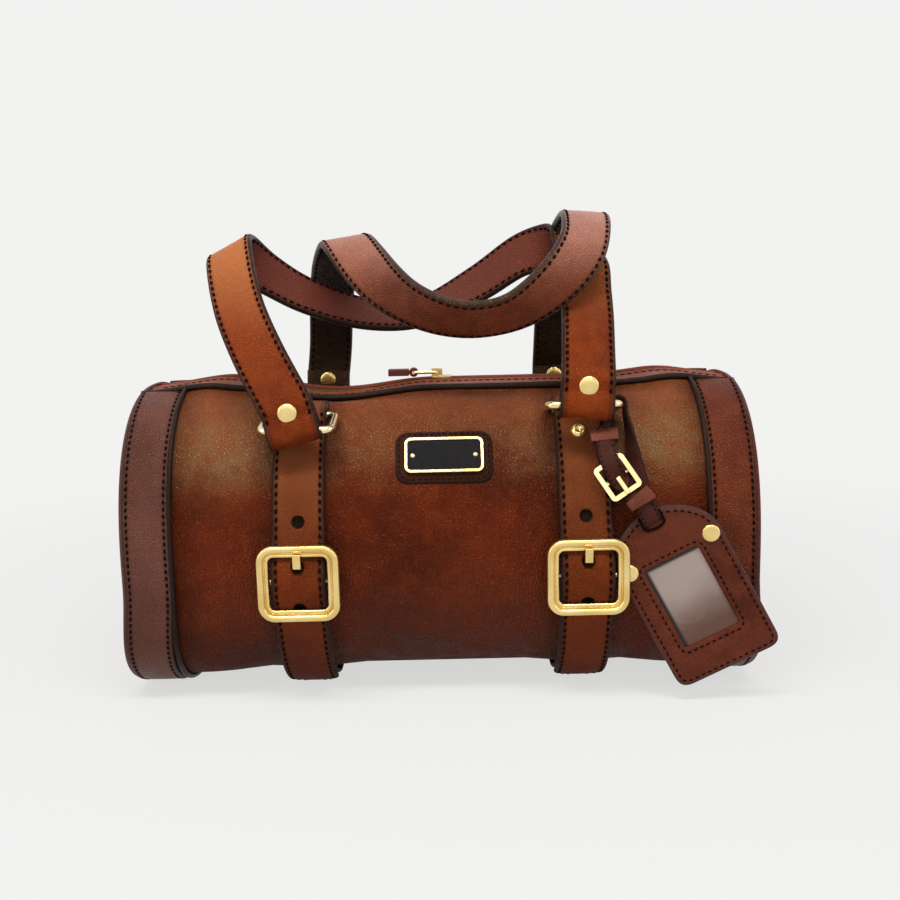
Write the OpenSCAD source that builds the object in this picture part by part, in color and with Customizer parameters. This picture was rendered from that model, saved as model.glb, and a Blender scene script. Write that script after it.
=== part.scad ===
// Barrel handbag: a zipped leather cylinder with end bands, two buckled straps,
// two looped handles on metal rings, a plain plaque and a hanging leather tag.
// Millimetres. X runs along the barrel, Y goes to the back, Z is up.
// The origin is on the floor under the middle of the barrel.
// Angles round the barrel start at its top and go by the front: 90 is the front,
// 180 the underside and 270 the back.

/* [Body] */
// Length of the barrel over the rims of its end panels
body_length = 292; // [275:1:310]
// Depth of the barrel over its leather
body_depth = 150; // [142:1:158]
// Height of the barrel's leather, without the straps under it
body_height = 148; // [142:1:155]
// Thickness of the barrel's leather
panel_t = 2.5; // [2:0.1:3]
// Thickness of the lining
lining_t = 1; // [0.8:0.1:1.4]
// How far the end panels bulge
end_bulge = 6; // [3:0.5:9]
// Width of each end band
band_w = 22; // [18:0.5:28]
// Thickness of the end bands and of the straps under the barrel
band_t = 2.2; // [1.8:0.1:2.6]
// Diameter of the piping and of the end welts
piping_d = 3.4; // [3:0.1:4]
// Width of the top between its two pipings
gusset_w = 50; // [46:1:56]

/* [Zip] */
// Length of the leather patch past each end of the zip
zip_patch_l = 15.5; // [12:0.5:24]
// Gap between the two leather edges beside the zip
zip_gap = 13; // [12:0.5:15]
// Length of the stretch that stands open
zip_open_length = 110; // [60:2:110]
// Width of the open stretch at its middle, between the teeth
zip_open_w = 14; // [10:0.5:15]
// Distance from one tooth to the next
tooth_pitch = 3.6; // [3.2:0.1:4.5]
// Place of the slider along the zip
slider_x = 1; // [0:0.5:20]
// Length of the slider
slider_l = 10; // [9:0.5:12]

/* [Straps] */
// Distance between the two straps' middles
strap_spacing = 131; // [122:1:140]
// Width of the straps and handles
strap_w = 24.5; // [22:0.5:26]
// Thickness of the front straps
strap_t = 2.8; // [2.4:0.1:3.2]
// Diameter of the holes in the front straps
strap_hole_d = 5.6; // [5.3:0.1:6]
// Diameter of the strap rivets
strap_rivet_d = 8; // [6:0.5:10]

/* [Buckles] */
// Outer width of the buckle frames
buckle_w = 37.5; // [36.5:0.5:40]
// Outer height of the buckle frames
buckle_h = 35.6; // [35:0.2:39]
// Thickness of the buckle frames
buckle_t = 3.4; // [3:0.1:4]
// Diameter of the buckles' centre bars
buckle_bar_d = 2.4; // [2.2:0.1:2.8]
// Width of the buckles' prongs
prong_w = 3.6; // [3:0.1:4.2]

/* [Rings and handles] */
// Outer width of the handle rings
ring_w = 36; // [34:0.5:38]
// Distance between a ring's two long bars, middle to middle
ring_pitch = 23; // [22:0.5:25]
// Thickness of the rings' wire
ring_wire = 3.6; // [3.2:0.1:4]
// How far the handles' highest points stand above the barrel
handle_rise = 78; // [74:1:84]
// Thickness of the handles
handle_t = 3.8; // [3.2:0.1:4]
// Diameter of the handles' rivets
handle_rivet_d = 9; // [7:0.5:11]

/* [Plaque] */
// Width of the plaque's leather patch
patch_w = 45; // [38:1:52]
// Height of the plaque's leather patch
patch_h = 26; // [22:1:30]
// Width of the leather that shows round the plaque
patch_border = 4.2; // [3:0.2:6]

/* [Tag] */
// Width of the tag
tag_w = 51; // [46:1:54]
// Length of the tag below its slot
tag_l = 75; // [68:1:80]
// Thickness of each of the tag's two leaves
tag_leaf_t = 1.1; // [0.9:0.1:1.4]
// Width of the tag's window
tag_window_w = 27; // [20:1:30]
// Height of the tag's window
tag_window_h = 42; // [34:1:44]
// Width of the tag's strap
tag_strap_w = 9; // [7:0.5:9.5]
// Thickness of the tag's strap
tag_strap_t = 1.6; // [1.2:0.1:1.8]
// Diameter of the tag's snaps
snap_d = 8; // [6:0.5:9]

/* [Hidden] */
$fn = 48;

// Overrun of cuts, running clearance between pieces that move, and bar fit
cut = 1;
clearance = 0.4;
bar_fit = 0.1;

// Outline of the barrel
half_length = body_length / 2;
waist_share = 0.446;
flat_share = 0.017;
low_height = body_height * waist_share;
high_height = body_height - low_height;
waist_z = band_t + low_height;
low_reach = low_height + body_height * flat_share;
low_power = 2.5;
end_power = 3.6;
grid_steps = 96;
grid_angle = 360 / grid_steps;

// A number's power that keeps its sign
function signed_power(v, p) = sign(v) * pow(abs(v), p);

// Mix of two values by a share
function mix(a, b, f) = a + (b - a) * f;

// Unit vector
function unit(v) = v / norm(v);

// Power of the outline's curve at an angle: round above the waist, fuller below
function outline_power(a, low = low_power) = cos(a) >= 0 ? 2 : low;

// Point of the barrel's leather at an angle, as Y and Z, before the flat is cut
function raw_point(a, low = low_power) =
    let (n = outline_power(a, low), reach = cos(a) >= 0 ? high_height : low_reach)
    [-body_depth / 2 * signed_power(sin(a), 2 / n),
     waist_z + reach * signed_power(cos(a), 2 / n)];

// Outward direction of the leather at an angle
function raw_normal(a, low = low_power) =
    let (n = outline_power(a, low), reach = cos(a) >= 0 ? high_height : low_reach)
    unit([-signed_power(sin(a), 2 * (n - 1) / n) / body_depth * 2,
          signed_power(cos(a), 2 * (n - 1) / n) / reach]);

// Point at an angle of the grid, moved outward by d; the underside is cut flat
function grid_point(a, d, low = low_power) =
    let (p = raw_point(a, low))
    p[1] < band_t ? [p[0], band_t - d] : p + raw_normal(a, low) * d;

// Point at any angle: between grid angles it lies on the straight side
function skin(a, d, low = low_power) =
    let (k = floor(a / grid_angle), f = a / grid_angle - k)
    mix(grid_point(k * grid_angle, d, low), grid_point((k + 1) * grid_angle, d, low), f);

// Outward direction of the flat side at an angle
function skin_normal(a) =
    let (k = floor(a / grid_angle))
    let (p = grid_point(k * grid_angle, 0), q = grid_point((k + 1) * grid_angle, 0))
    unit([q[1] - p[1], p[0] - q[0]]);

// Angles from a1 to a2 with the grid's own angles between them
function grid_angles(a1, a2) =
    concat([a1],
           [for (k = [floor(a1 / grid_angle) + 1 : ceil(a2 / grid_angle) - 1]) k * grid_angle],
           [a2]);

// Angle at which the upper leather lies y in front of the middle
function angle_at(y) = asin(y / (body_depth / 2));

// Extrudes an outline drawn in Y and Z from x1 to x2
module along_x(x1, x2) {
    translate([x1, 0, 0])
        rotate([90, 0, 90])
            linear_extrude(x2 - x1)
                children();
}

// Outline of a layer of leather between two angles and two heights above the skin
function layer_points(a1, a2, d1, d2, low) =
    let (angles = grid_angles(a1, a2))
    concat([for (a = angles) skin(a, d2, low)],
           [for (i = [len(angles) - 1 : -1 : 0]) skin(angles[i], d1, low)]);

module layer(a1, a2, d1, d2, low = low_power) {
    polygon(layer_points(a1, a2, d1, d2, low));
}

// Layer that is fuller below near its two ends than over the straps
module full_ended_layer(half, a1, a2, d1, d2) {
    middle = layer_points(a1, a2, d1, d2, low_power);
    full = layer_points(a1, a2, d1, d2, end_power);
    xs = [-half, -full_end, -full_start, full_start, full_end, half];
    rings = [full, full, middle, middle, full, full];
    n = len(full);
    last = (len(xs) - 1) * n;
    points = [for (r = [0 : len(xs) - 1], p = rings[r]) [xs[r], p[0], p[1]]];
    sides = [for (r = [0 : len(xs) - 2], i = [0 : n - 1], h = [0, 1])
        let (a = r * n + i, b = r * n + (i + 1) % n)
        h == 0 ? [a, a + n, b] : [b, a + n, b + n]];
    near = [for (i = [0 : n / 2 - 2], h = [0, 1])
        h == 0 ? [i, i + 1, n - 1 - i] : [i + 1, n - 2 - i, n - 1 - i]];
    far = [for (f = near) [f[2] + last, f[1] + last, f[0] + last]];
    polyhedron(points, concat(sides, near, far), convexity = 8);
}

// Whole outline of the barrel at a height above its skin
module whole_outline(d, low = low_power) {
    polygon([for (k = [0 : grid_steps - 1]) grid_point(k * grid_angle, d, low)]);
}

// Copies the children to the left, mirrored, when side is -1
module on_side(side) {
    if (side < 0)
        mirror([1, 0, 0])
            children();
    else
        children();
}

// Copies the children to the back, mirrored, when face is 1
module on_face(face) {
    if (face > 0)
        mirror([0, 1, 0])
            children();
    else
        children();
}

// Straight cylinder between two points
module rod(p, q, d) {
    v = q - p;
    translate(p)
        rotate([0, acos(v[2] / norm(v)), atan2(v[1], v[0])])
            cylinder(d = d, h = norm(v));
}

// Plate with round corners, centred, lying on its plane
module round_plate(w, h, r, t) {
    linear_extrude(t) {
        square([w - 2 * r, h], center = true);
        square([w, h - 2 * r], center = true);
        for (sx = [-1, 1], sy = [-1, 1])
            translate([sx * (w / 2 - r), sy * (h / 2 - r)])
                circle(r = r);
    }
}

// Rivet head: a low dome on its flat face
module dome(d, h) {
    intersection() {
        translate([0, 0, h - dome_radius(d, h)])
            sphere(r = dome_radius(d, h));
        cylinder(d = d, h = h);
    }
}

// Radius of the ball that a dome of this width and height is cut from
function dome_radius(d, h) = (d * d / 4 + h * h) / (2 * h);

// Body shell
inner_half = half_length - panel_t;
piping_core = piping_d * 0.7;
piping_angle = angle_at(gusset_w / 2);
skin_radius = norm(raw_point(piping_angle) - [0, waist_z]);
core_angle = piping_core / skin_radius * 180 / PI;
panel_angle = piping_angle + core_angle / 2;
gusset_angle = piping_angle - core_angle / 2;
band_angle = panel_angle + (piping_d - piping_core) / skin_radius * 90 / PI;

// Where the panel's fuller ends begin and where they are full, beside the bands
full_start = strap_spacing / 2 + strap_w * 0.75;
full_end = half_length - band_w * 1.25;

module body_panel() {
    color("#6b2c17")
        full_ended_layer(inner_half, panel_angle, 360 - panel_angle, -panel_t, 0);
}

// Flat patch under the middle, as thick as the straps beside it
base_gap = 6;
base_w = 54;
base_r = 8;

module base_patch() {
    color("#4f2417")
        round_plate(strap_spacing - strap_w - 2 * base_gap, base_w, base_r, band_t);
}

module lining() {
    color("#2b1b16") {
        along_x(-inner_half, inner_half)
            layer(lining_angle, 360 - lining_angle, -panel_t - lining_t, -panel_t);
        for (side = [-1, 1])
            on_side(side)
                along_x(inner_half - lining_t, inner_half)
                    whole_outline(-panel_t);
    }
}

// Bulge of an end panel: rings of the outline that shrink towards the middle
bulge_rings = 5;
bulge_inset = piping_d / 2;
bulge_middle = [0, waist_z];

// Point of the bulge at ring i and grid step k
function bulge_point(i, k) =
    let (s = cos(90 * i / bulge_rings), rim = grid_point(k * grid_angle, -bulge_inset, end_power))
    let (p = bulge_middle + (rim - bulge_middle) * s)
    [half_length + end_bulge * sin(90 * i / bulge_rings), p[0], p[1]];

module bulge() {
    rows = bulge_rings - 1;
    tip = (rows + 1) * grid_steps;
    points = concat(
        [for (i = [0 : rows], k = [0 : grid_steps - 1]) bulge_point(i, k)],
        [[half_length + end_bulge, bulge_middle[0], bulge_middle[1]]]);
    rim = [[for (k = [0 : grid_steps - 1]) k]];
    sides = [for (i = [0 : rows - 1], k = [0 : grid_steps - 1], h = [0, 1])
        let (a = i * grid_steps + k, b = i * grid_steps + (k + 1) % grid_steps)
        h == 0 ? [a, a + grid_steps, b] : [b, a + grid_steps, b + grid_steps]];
    cap = [for (k = [0 : grid_steps - 1])
        [rows * grid_steps + k, tip, rows * grid_steps + (k + 1) % grid_steps]];
    polyhedron(points, concat(rim, sides, cap), convexity = 4);
}

module end_panel(side) {
    color("#7a3a24")
        on_side(side) {
            along_x(inner_half, half_length)
                whole_outline(0, end_power);
            bulge();
        }
}

module end_band(side) {
    color("#54281a")
        on_side(side)
            along_x(half_length - band_w, half_length)
                layer(band_angle, 360 - band_angle, 0, band_t, end_power);
}

// Section of the welt as height above the skin and reach beyond the rim
welt_steps = 6;
welt_middle = band_t - piping_d / 2;

// Point j of the welt's half round section at grid step k
function welt_point(j, k) =
    let (t = 180 * j / welt_steps)
    let (p = grid_point(k * grid_angle, welt_middle - piping_d / 2 * cos(t), end_power))
    [half_length + piping_d / 2 * sin(t), p[0], p[1]];

module end_welt(side) {
    row = welt_steps + 1;
    points = [for (k = [0 : grid_steps - 1], j = [0 : welt_steps]) welt_point(j, k)];
    faces = [for (k = [0 : grid_steps - 1], j = [0 : welt_steps], h = [0, 1])
        let (n = (k + 1) % grid_steps, i = (j + 1) % row)
        h == 0
            ? [k * row + j, n * row + j, k * row + i]
            : [n * row + j, n * row + i, k * row + i]];
    color("#1d1512")
        on_side(side)
            polyhedron(points, faces, convexity = 6);
}

// Piping: a round bead on a core that fills the seam beside the front panel
bead_steps = 10;

// Outline of the bead over the seam
function bead(p, q) =
    let (middle = (p + q) / 2, half = norm(q - p) / 2, across = unit(q - p))
    let (out = [-across[1], across[0]], lift = sqrt(pow(piping_d / 2, 2) - half * half))
    let (start = acos(half / (piping_d / 2)))
    [for (i = [0 : bead_steps])
        let (t = -start + (180 + 2 * start) * i / bead_steps)
        middle + out * (lift + piping_d / 2 * sin(t)) + across * (piping_d / 2 * cos(t))];

module piping(face) {
    p = skin(panel_angle, 0);
    q = skin(gusset_angle, 0);
    color("#1d1512")
        on_face(face) {
            along_x(-inner_half, inner_half)
                polygon(concat([skin(gusset_angle, -panel_t)],
                               [skin(panel_angle, -panel_t)],
                               [for (i = [bead_steps : -1 : 0]) bead(p, q)[i]]));
            along_x(-half_length, half_length)
                polygon(bead(p, q));
        }
}

// Zip: the open stretch is a lens between the teeth, left of the slider
zip_half = inner_half - zip_patch_l;
tooth_t = 2;
tooth_reach = 1.5;
tooth_w = 1.8;
tooth_cord = 1;
row_gap = 0.9;
tape_edge = row_gap + tooth_reach;
tape_t = 0.6;
tape_reach = zip_gap / 2 + 4;
lens_end = slider_x - slider_l / 2 - 4 * clearance;
lens_start = lens_end - zip_open_length;
lens_steps = 40;
tape_angle = angle_at(tape_reach + zip_open_w / 2);
lining_angle = tape_angle + grid_angle / 4;
zip_z = band_t + body_height - panel_t - tape_t / 2;

// Half width of the opening at x
function lens(x) =
    x <= lens_start || x >= lens_end ? 0
        : zip_open_w / 2 * pow(sin(180 * (x - lens_start) / zip_open_length), 1.4);

// Places along the zip where its edges bend
function zip_stations() =
    concat([-inner_half],
           [for (i = [0 : lens_steps]) lens_start + zip_open_length * i / lens_steps],
           [inner_half]);

// Space kept clear by one side of the zip, from the middle to reach beyond the lens
module lens_space(reach) {
    xs = zip_stations();
    translate([0, 0, zip_z - body_height / 4])
        linear_extrude(body_height / 2)
            polygon(concat([for (x = xs) [x, -lens(x) - reach]],
                           [[inner_half, zip_gap], [-inner_half, zip_gap]]));
}

module gusset(face) {
    color("#8a4a33")
        on_face(face)
            difference() {
                along_x(-inner_half, inner_half)
                    layer(0, gusset_angle, -panel_t, 0);
                lens_space(zip_gap / 2);
            }
}

module zip_tape(face) {
    color("#3a2219")
        on_face(face)
            difference() {
                along_x(-zip_half, zip_half)
                    layer(0, tape_angle, -panel_t - tape_t, -panel_t);
                lens_space(tape_edge);
            }
}

// Height of the gold teeth: they stand on the edge of the tape
module zip_teeth(face) {
    count = floor(2 * zip_half / tooth_pitch) - 1;
    first = -(count - 1) * tooth_pitch / 2;
    xs = [for (x = zip_stations()) if (abs(x) < zip_half) x];
    back_edge = concat([[-zip_half, -tape_edge]],
                       [for (x = xs) [x, -lens(x) - tape_edge]],
                       [[zip_half, -tape_edge]]);
    tips = [for (i = [count - 1 : -1 : 0])
        let (x = first + i * tooth_pitch, root = lens(x) + tape_edge - tooth_cord)
        each [[x + tooth_w / 2, -root], [x + tooth_w / 2, -lens(x) - row_gap],
              [x - tooth_w / 2, -lens(x) - row_gap], [x - tooth_w / 2, -root]]];
    ends = tape_edge - tooth_cord;
    color("#c9a24a")
        on_face(face)
            translate([0, 0, zip_z - tooth_t / 2])
                linear_extrude(tooth_t)
                    polygon(concat(back_edge, [[zip_half, -ends]], tips, [[-zip_half, -ends]]));
}

module zip_end(side) {
    edge = angle_at(zip_gap / 2);
    color("#7a3f2b")
        on_side(side)
            intersection() {
                along_x(zip_half, inner_half)
                    layer(-gusset_angle, gusset_angle, -panel_t, 0);
                translate([zip_half, -zip_gap / 2, 0])
                    cube([inner_half, zip_gap, 2 * body_height]);
            }
}

// Slider: two plates joined by a post between the rows of teeth, and a lug on top
plate_w = 8.4;
plate_t = 1.1;
post_t = 2 * (row_gap - clearance);
post_l = 3;
plate_gap = tooth_t / 2 + clearance;
lug_w = 2.4;
lug_l = 5.6;
pull_wire = 1.6;
pull_x = slider_x - slider_l / 4;
slider_top = zip_z + plate_gap + plate_t;
pull_z = slider_top + pull_wire / 2 + 3 * clearance;
lug_top = pull_z + pull_wire / 2 + bar_fit + pull_wire / 2;

module zip_slider() {
    color("#d2ad55")
        difference() {
            union() {
                for (s = [-1, 1])
                    translate([slider_x, 0, zip_z + s * (plate_gap + plate_t / 2) - plate_t / 2])
                        round_plate(slider_l, plate_w, plate_t, plate_t);
                translate([slider_x - post_l / 2, -post_t / 2, zip_z - plate_gap - plate_t / 2])
                    cube([post_l, post_t, 2 * plate_gap + plate_t]);
                translate([pull_x - lug_l / 2, -lug_w / 2, slider_top - plate_t / 2])
                    cube([lug_l, lug_w, lug_top - slider_top + plate_t / 2]);
            }
            translate([pull_x, plate_w, pull_z])
                rotate([90, 0, 0])
                    cylinder(d = pull_wire + 2 * bar_fit, h = 2 * plate_w);
        }
}

// Pull: a wire loop through the lug, with a folded leather tab at its far end
pull_l = 12;
pull_w = 8;
tab_l = 13;
tab_w = 7.6;
tab_t = 1.4;

module zip_pull_loop() {
    near = pull_w / 2 - pull_wire / 2;
    far = pull_x - pull_l;
    color("#d8b660")
        union() {
            rod([pull_x, -pull_w / 2, pull_z], [pull_x, pull_w / 2, pull_z], pull_wire);
            rod([far, -pull_w / 2, pull_z], [far, pull_w / 2, pull_z], pull_wire);
            for (s = [-1, 1])
                rod([far, s * near, pull_z], [pull_x, s * near, pull_z], pull_wire);
        }
}

module zip_pull_tab() {
    far = pull_x - pull_l;
    eye = pull_wire / 2 + bar_fit;
    inner_w = pull_w - 2 * pull_wire - 2 * bar_fit;
    color("#5a2430")
        difference() {
            union() {
                translate([far, inner_w / 2, pull_z])
                    rotate([90, 0, 0])
                        cylinder(r = eye + tab_t, h = inner_w);
                translate([far - tab_l, -inner_w / 2, pull_z - eye])
                    cube([tab_l, inner_w, 2 * eye]);
                translate([far - tab_l, -tab_w / 2, pull_z - eye - tab_t / 2])
                    cube([tab_l - pull_wire - eye, tab_w, 2 * eye + tab_t]);
            }
            translate([far, pull_w, pull_z])
                rotate([90, 0, 0])
                    cylinder(r = eye, h = 2 * pull_w);
        }
}

// Straps on the barrel
strap_x = strap_spacing / 2;
strap_top_angle = 31;
ring_angle = 37.8;
strap_tip_angle = 154;
under_top_angle = 90;
buckle_angle = 92.2;
fine_angle = grid_angle / 3;
bend_angle = 8;
degree_length = skin_radius * PI / 180;

// Rings pass under the straps in a bore with some slack
ring_slack = 0.6;
ring_bore = ring_wire + 2 * ring_slack;
ring_seat = ring_wire / 2 + clearance;
ring_wall = 2.2;
bump_reach = 9;

// Centre bar of a buckle, the chape round it and the strap that rides over it
chape_t = 1;
bar_radius = buckle_bar_d / 2;
chape_radius = bar_radius + bar_fit + chape_t;
bar_seat = band_t + chape_radius;
buckle_ride = bar_seat + chape_radius + 2 * bar_fit;

// Height of the strap's own hump over a ring's bar, at an angle
function bump(a, t, centre) =
    let (s = abs(a - centre) * degree_length)
    s >= bump_reach ? 0
        : (ring_seat + ring_bore / 2 + ring_wall - t) * pow(cos(90 * s / bump_reach), 2);

// Ride of the front strap over the bar: turn from the bar's angle, share of the ride
ride_shares = [
    [-19, 0], [-15, 0.04], [-12, 0.14], [-9, 0.32], [-7, 0.5], [-5, 0.7],
    [-3, 0.89], [0, 1], [2.5, 0.94], [5, 0.78], [7.7, 0.6], [9.8, 0.5], [13, 0.4]
];
ride_end = 13;
tail_seat_angle = 112;
tail_lift_angle = 147;
tail_lift = 0.5;

// Height of the front strap's inner face at an angle
function ride(a) =
    let (turn = a - buckle_angle)
    turn < ride_end ? buckle_ride * lookup(turn, ride_shares)
        : lookup(a, [[buckle_angle + ride_end, buckle_ride * lookup(ride_end, ride_shares)],
                     [tail_seat_angle, band_t], [tail_lift_angle, band_t],
                     [strap_tip_angle, band_t + tail_lift]]);

// Angles of a strap, closer together where it bends
function strap_angles(a1, a2, f1, f2) =
    concat([a1],
           [for (k = [floor(a1 / fine_angle) + 1 : ceil(a2 / fine_angle) - 1])
                let (a = k * fine_angle)
                if (k % 3 == 0 || (a > f1 && a < f2)) a],
           [a2]);

// Rounded end and holes are cut in the frame of a point on the barrel
module at_skin(x, a, d) {
    p = skin(a, d);
    n = skin_normal(a);
    translate([x, p[0], p[1]])
        rotate([atan2(-n[0], n[1]), 0, 0])
            children();
}

// Bore for a ring's bar at an angle
module ring_bore_cut(a) {
    p = grid_free(a, ring_seat);
    translate([0, p[0], p[1]])
        rotate([0, 90, 0])
            cylinder(d = ring_bore, h = body_length, center = true);
}

// Point at an angle on the true curve
function grid_free(a, d) = raw_point(a) + raw_normal(a) * d;

module front_strap(side) {
    angles = strap_angles(strap_top_angle, strap_tip_angle, ring_angle - bend_angle,
                          tail_seat_angle + fine_angle);
    inner = [for (i = [len(angles) - 1 : -1 : 0]) skin(angles[i], ride(angles[i]))];
    outer = [for (a = angles) skin(a, ride(a) + strap_t + bump(a, strap_t, ring_angle))];
    color("#75341c")
        on_side(side)
            difference() {
                along_x(strap_x - strap_w / 2, strap_x + strap_w / 2)
                    polygon(concat(outer, inner));
                ring_bore_cut(ring_angle);
                for (i = [-1 : 1])
                    hole_cut(i);
                tip_cut();
            }
}

// Centre of the prong's hole above the centre bar, and the pitch of the holes
hole_above_bar = 7.2;
hole_pitch = 19;
front_y = -body_depth / 2;
bar_z = raw_point(buckle_angle)[1];

// Level hole through the front of a strap, counted upward from the prong's
module hole_cut(i) {
    translate([strap_x, front_y / 2, bar_z + hole_above_bar + i * hole_pitch])
        rotate([90, 0, 0])
            cylinder(d = strap_hole_d, h = body_depth / 2);
}

// Cuts the free tip of a strap round
tip_share = 0.6;

module tip_cut() {
    at_skin(strap_x, strap_tip_angle, 0)
        difference() {
            translate([-strap_w, -strap_w, -strap_w / 2])
                cube([2 * strap_w, strap_w * (1 + tip_share / 2), strap_w]);
            translate([0, strap_w * tip_share, -strap_w])
                cylinder(r = strap_w * tip_share, h = 2 * strap_w);
        }
}

module under_strap(side) {
    back_ring_angle = 360 - ring_angle;
    angles = strap_angles(under_top_angle, 360 - strap_top_angle,
                          back_ring_angle - bend_angle, 360 - strap_top_angle);
    inner = [for (i = [len(angles) - 1 : -1 : 0]) skin(angles[i], 0)];
    outer = [for (a = angles) skin(a, band_t + bump(a, band_t, back_ring_angle))];
    color("#6a2f1a")
        on_side(side)
            difference() {
                along_x(strap_x - strap_w / 2, strap_x + strap_w / 2)
                    polygon(concat(outer, inner));
                ring_bore_cut(back_ring_angle);
            }
}

rivet_angle = 12.5 * grid_angle;
rivet_shift = 1.4;

module strap_rivet(side) {
    color("#d0ac52")
        at_skin(side * strap_x - rivet_shift, rivet_angle, strap_t)
            dome(strap_rivet_d, strap_rivet_d / 3);
}

// Buckles: the frame stands in front of the strap, its centre bar behind it
frame_back = front_y - bar_seat - chape_radius + clearance;
frame_bar = 3.3;
lip_w = 2.3;
lip_back = 0.7;
lip_t = 1.9;
corner_r = 8;

// Frame's ring with round corners, standing and facing the front
module standing_ring(w, h, bar, r, t) {
    rotate([90, 0, 0])
        difference() {
            round_plate(w, h, r, t);
            translate([0, 0, -cut])
                round_plate(w - 2 * bar, h - 2 * bar, r - bar, t + 2 * cut);
        }
}

module buckle_frame(side) {
    inner_w = buckle_w - 2 * frame_bar + 2 * bar_fit;
    inner_h = buckle_h - 2 * frame_bar + 2 * bar_fit;
    lug_x = buckle_w / 2 - frame_bar - lip_w;
    color("#dcb85c")
        translate([side * strap_x, 0, bar_z]) {
            translate([0, frame_back, 0])
                standing_ring(buckle_w, buckle_h, frame_bar, corner_r, buckle_t);
            translate([0, frame_back - lip_back, 0])
                standing_ring(inner_w, inner_h, lip_w + bar_fit, corner_r - frame_bar, lip_t);
            rod([-lug_x - lip_w / 2, front_y - bar_seat, 0],
                [lug_x + lip_w / 2, front_y - bar_seat, 0], buckle_bar_d);
            for (s = [-1, 1])
                translate([s > 0 ? lug_x + bar_fit : -lug_x - lip_w + bar_fit,
                           frame_back - lip_back - bar_fit, -buckle_bar_d])
                    cube([lip_w - 2 * bar_fit,
                          front_y - bar_seat + bar_radius - frame_back + lip_back + bar_fit,
                          2 * buckle_bar_d]);
        }
}

// Prong: from its eye on the centre bar, out through the hole, over the top bar
prong_t = 2;
eye_radius = chape_radius - 2 * bar_fit;
prong_front = -frame_back + lip_back + lip_t + clearance;
prong_rise = 1.3;
prong_lean = 0.5;

// Side view of the prong as reach in front of the bar and height above it
function prong_side(top, out) =
    let (low = hole_above_bar - prong_rise, high = hole_above_bar + prong_rise, h = prong_t / 2)
    let (knee = out - prong_lean)
    [[-h, 0], [-h, low], [knee - h, high + h], [out - h, top], [out + h, top],
     [knee + h, high - h], [h, low - h], [h, 0]];

module buckle_prong(side) {
    bar_out = -front_y + bar_seat;
    out = prong_front - bar_out + prong_t / 2;
    top = buckle_h / 2 - frame_bar - clearance;
    color("#e2c06a")
        translate([side * strap_x - prong_w / 2, -bar_out, bar_z])
            difference() {
                union() {
                    rotate([90, 0, 90])
                        linear_extrude(prong_w)
                            polygon([for (p = prong_side(top, out)) [-p[0], p[1]]]);
                    rotate([0, 90, 0])
                        cylinder(r = eye_radius, h = prong_w);
                }
                translate([-cut, 0, 0])
                    rotate([0, 90, 0])
                        cylinder(r = bar_radius + bar_fit, h = prong_w + 2 * cut);
            }
}

chape_end_angle = 102;

module buckle_chape(side) {
    bar = [front_y - bar_seat, bar_z];
    slot = prong_w + 2 * clearance;
    color("#4f2417")
        on_side(side)
            difference() {
                union() {
                    along_x(strap_x - strap_w / 2 + chape_t, strap_x + strap_w / 2 - chape_t)
                        layer(buckle_angle + 1, chape_end_angle, band_t, band_t + chape_t);
                    rod([strap_x - strap_w / 2 + chape_t, bar[0], bar[1]],
                        [strap_x + strap_w / 2 - chape_t, bar[0], bar[1]], 2 * chape_radius);
                }
                rod([0, bar[0], bar[1]], [body_length / 2, bar[0], bar[1]],
                    buckle_bar_d + 2 * bar_fit);
                translate([strap_x - slot / 2, bar[0] - 2 * chape_radius, bar[1] - 2 * chape_radius])
                    cube([slot, 4 * chape_radius, 4 * chape_radius + body_height]);
            }
}

// Rings: the bar under the strap is the hinge, the outer bar carries the handle
front_right_lift = 13.3;
front_left_lift = -9.3;
back_lift = -8;
ring_corner = 4;
ring_axis = grid_free(ring_angle, ring_seat);

// Flat ring of round wire from its inner bar towards the front
module wire_ring() {
    half = (ring_w - ring_wire) / 2;
    straight = half - ring_corner;
    for (y = [0, -ring_pitch])
        rod([-straight, y, 0], [straight, y, 0], ring_wire);
    for (s = [-1, 1]) {
        rod([s * half, -ring_corner, 0], [s * half, ring_corner - ring_pitch, 0], ring_wire);
        for (end = [0, 1])
            translate([s * straight, end == 0 ? -ring_corner : ring_corner - ring_pitch, 0])
                mirror([s < 0 ? 1 : 0, 0, 0])
                    mirror([0, end, 0])
                        rotate_extrude(angle = 90)
                            translate([ring_corner, 0])
                                circle(d = ring_wire);
    }
}

module handle_ring(side, face, lift) {
    color("#e0c077")
        on_face(face)
            translate([side * strap_x, ring_axis[0], ring_axis[1]])
                rotate([-lift, 0, 0])
                    wire_ring();
}

// Outer bar of a ring, as a point
function outer_bar(side, face, lift) =
    [side * strap_x,
     face * -(ring_axis[0] - ring_pitch * cos(lift)),
     ring_axis[1] + ring_pitch * sin(lift)];

// Handle ends: the leather folds round the ring's bar and is riveted above it
fold_bore_half = ring_wire / 2 + 1;
fold_slack = 1.5;
fold_wall = 2.4;
fold_half = fold_bore_half + fold_wall;
fold_taper = 4;
fold_top = 14.5;
fold_flat = handle_t / 2 + 0.6;
fold_rivet = 8.6;

// End view of a fold: a long eye that narrows to the strap
function fold_side() =
    concat([for (t = [180 : 15 : 360]) [fold_half * cos(t), -fold_slack + fold_half * sin(t)]],
           [[fold_half, fold_slack], [fold_flat, fold_taper], [fold_flat, fold_top],
            [-fold_flat, fold_top], [-fold_flat, fold_taper], [-fold_half, fold_slack]]);

// Places the children at a ring's outer bar, leaning sideways by tilt
module at_bar(bar, shift, tilt) {
    translate(bar + [shift, 0, 0])
        rotate([0, tilt, 0])
            children();
}

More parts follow.
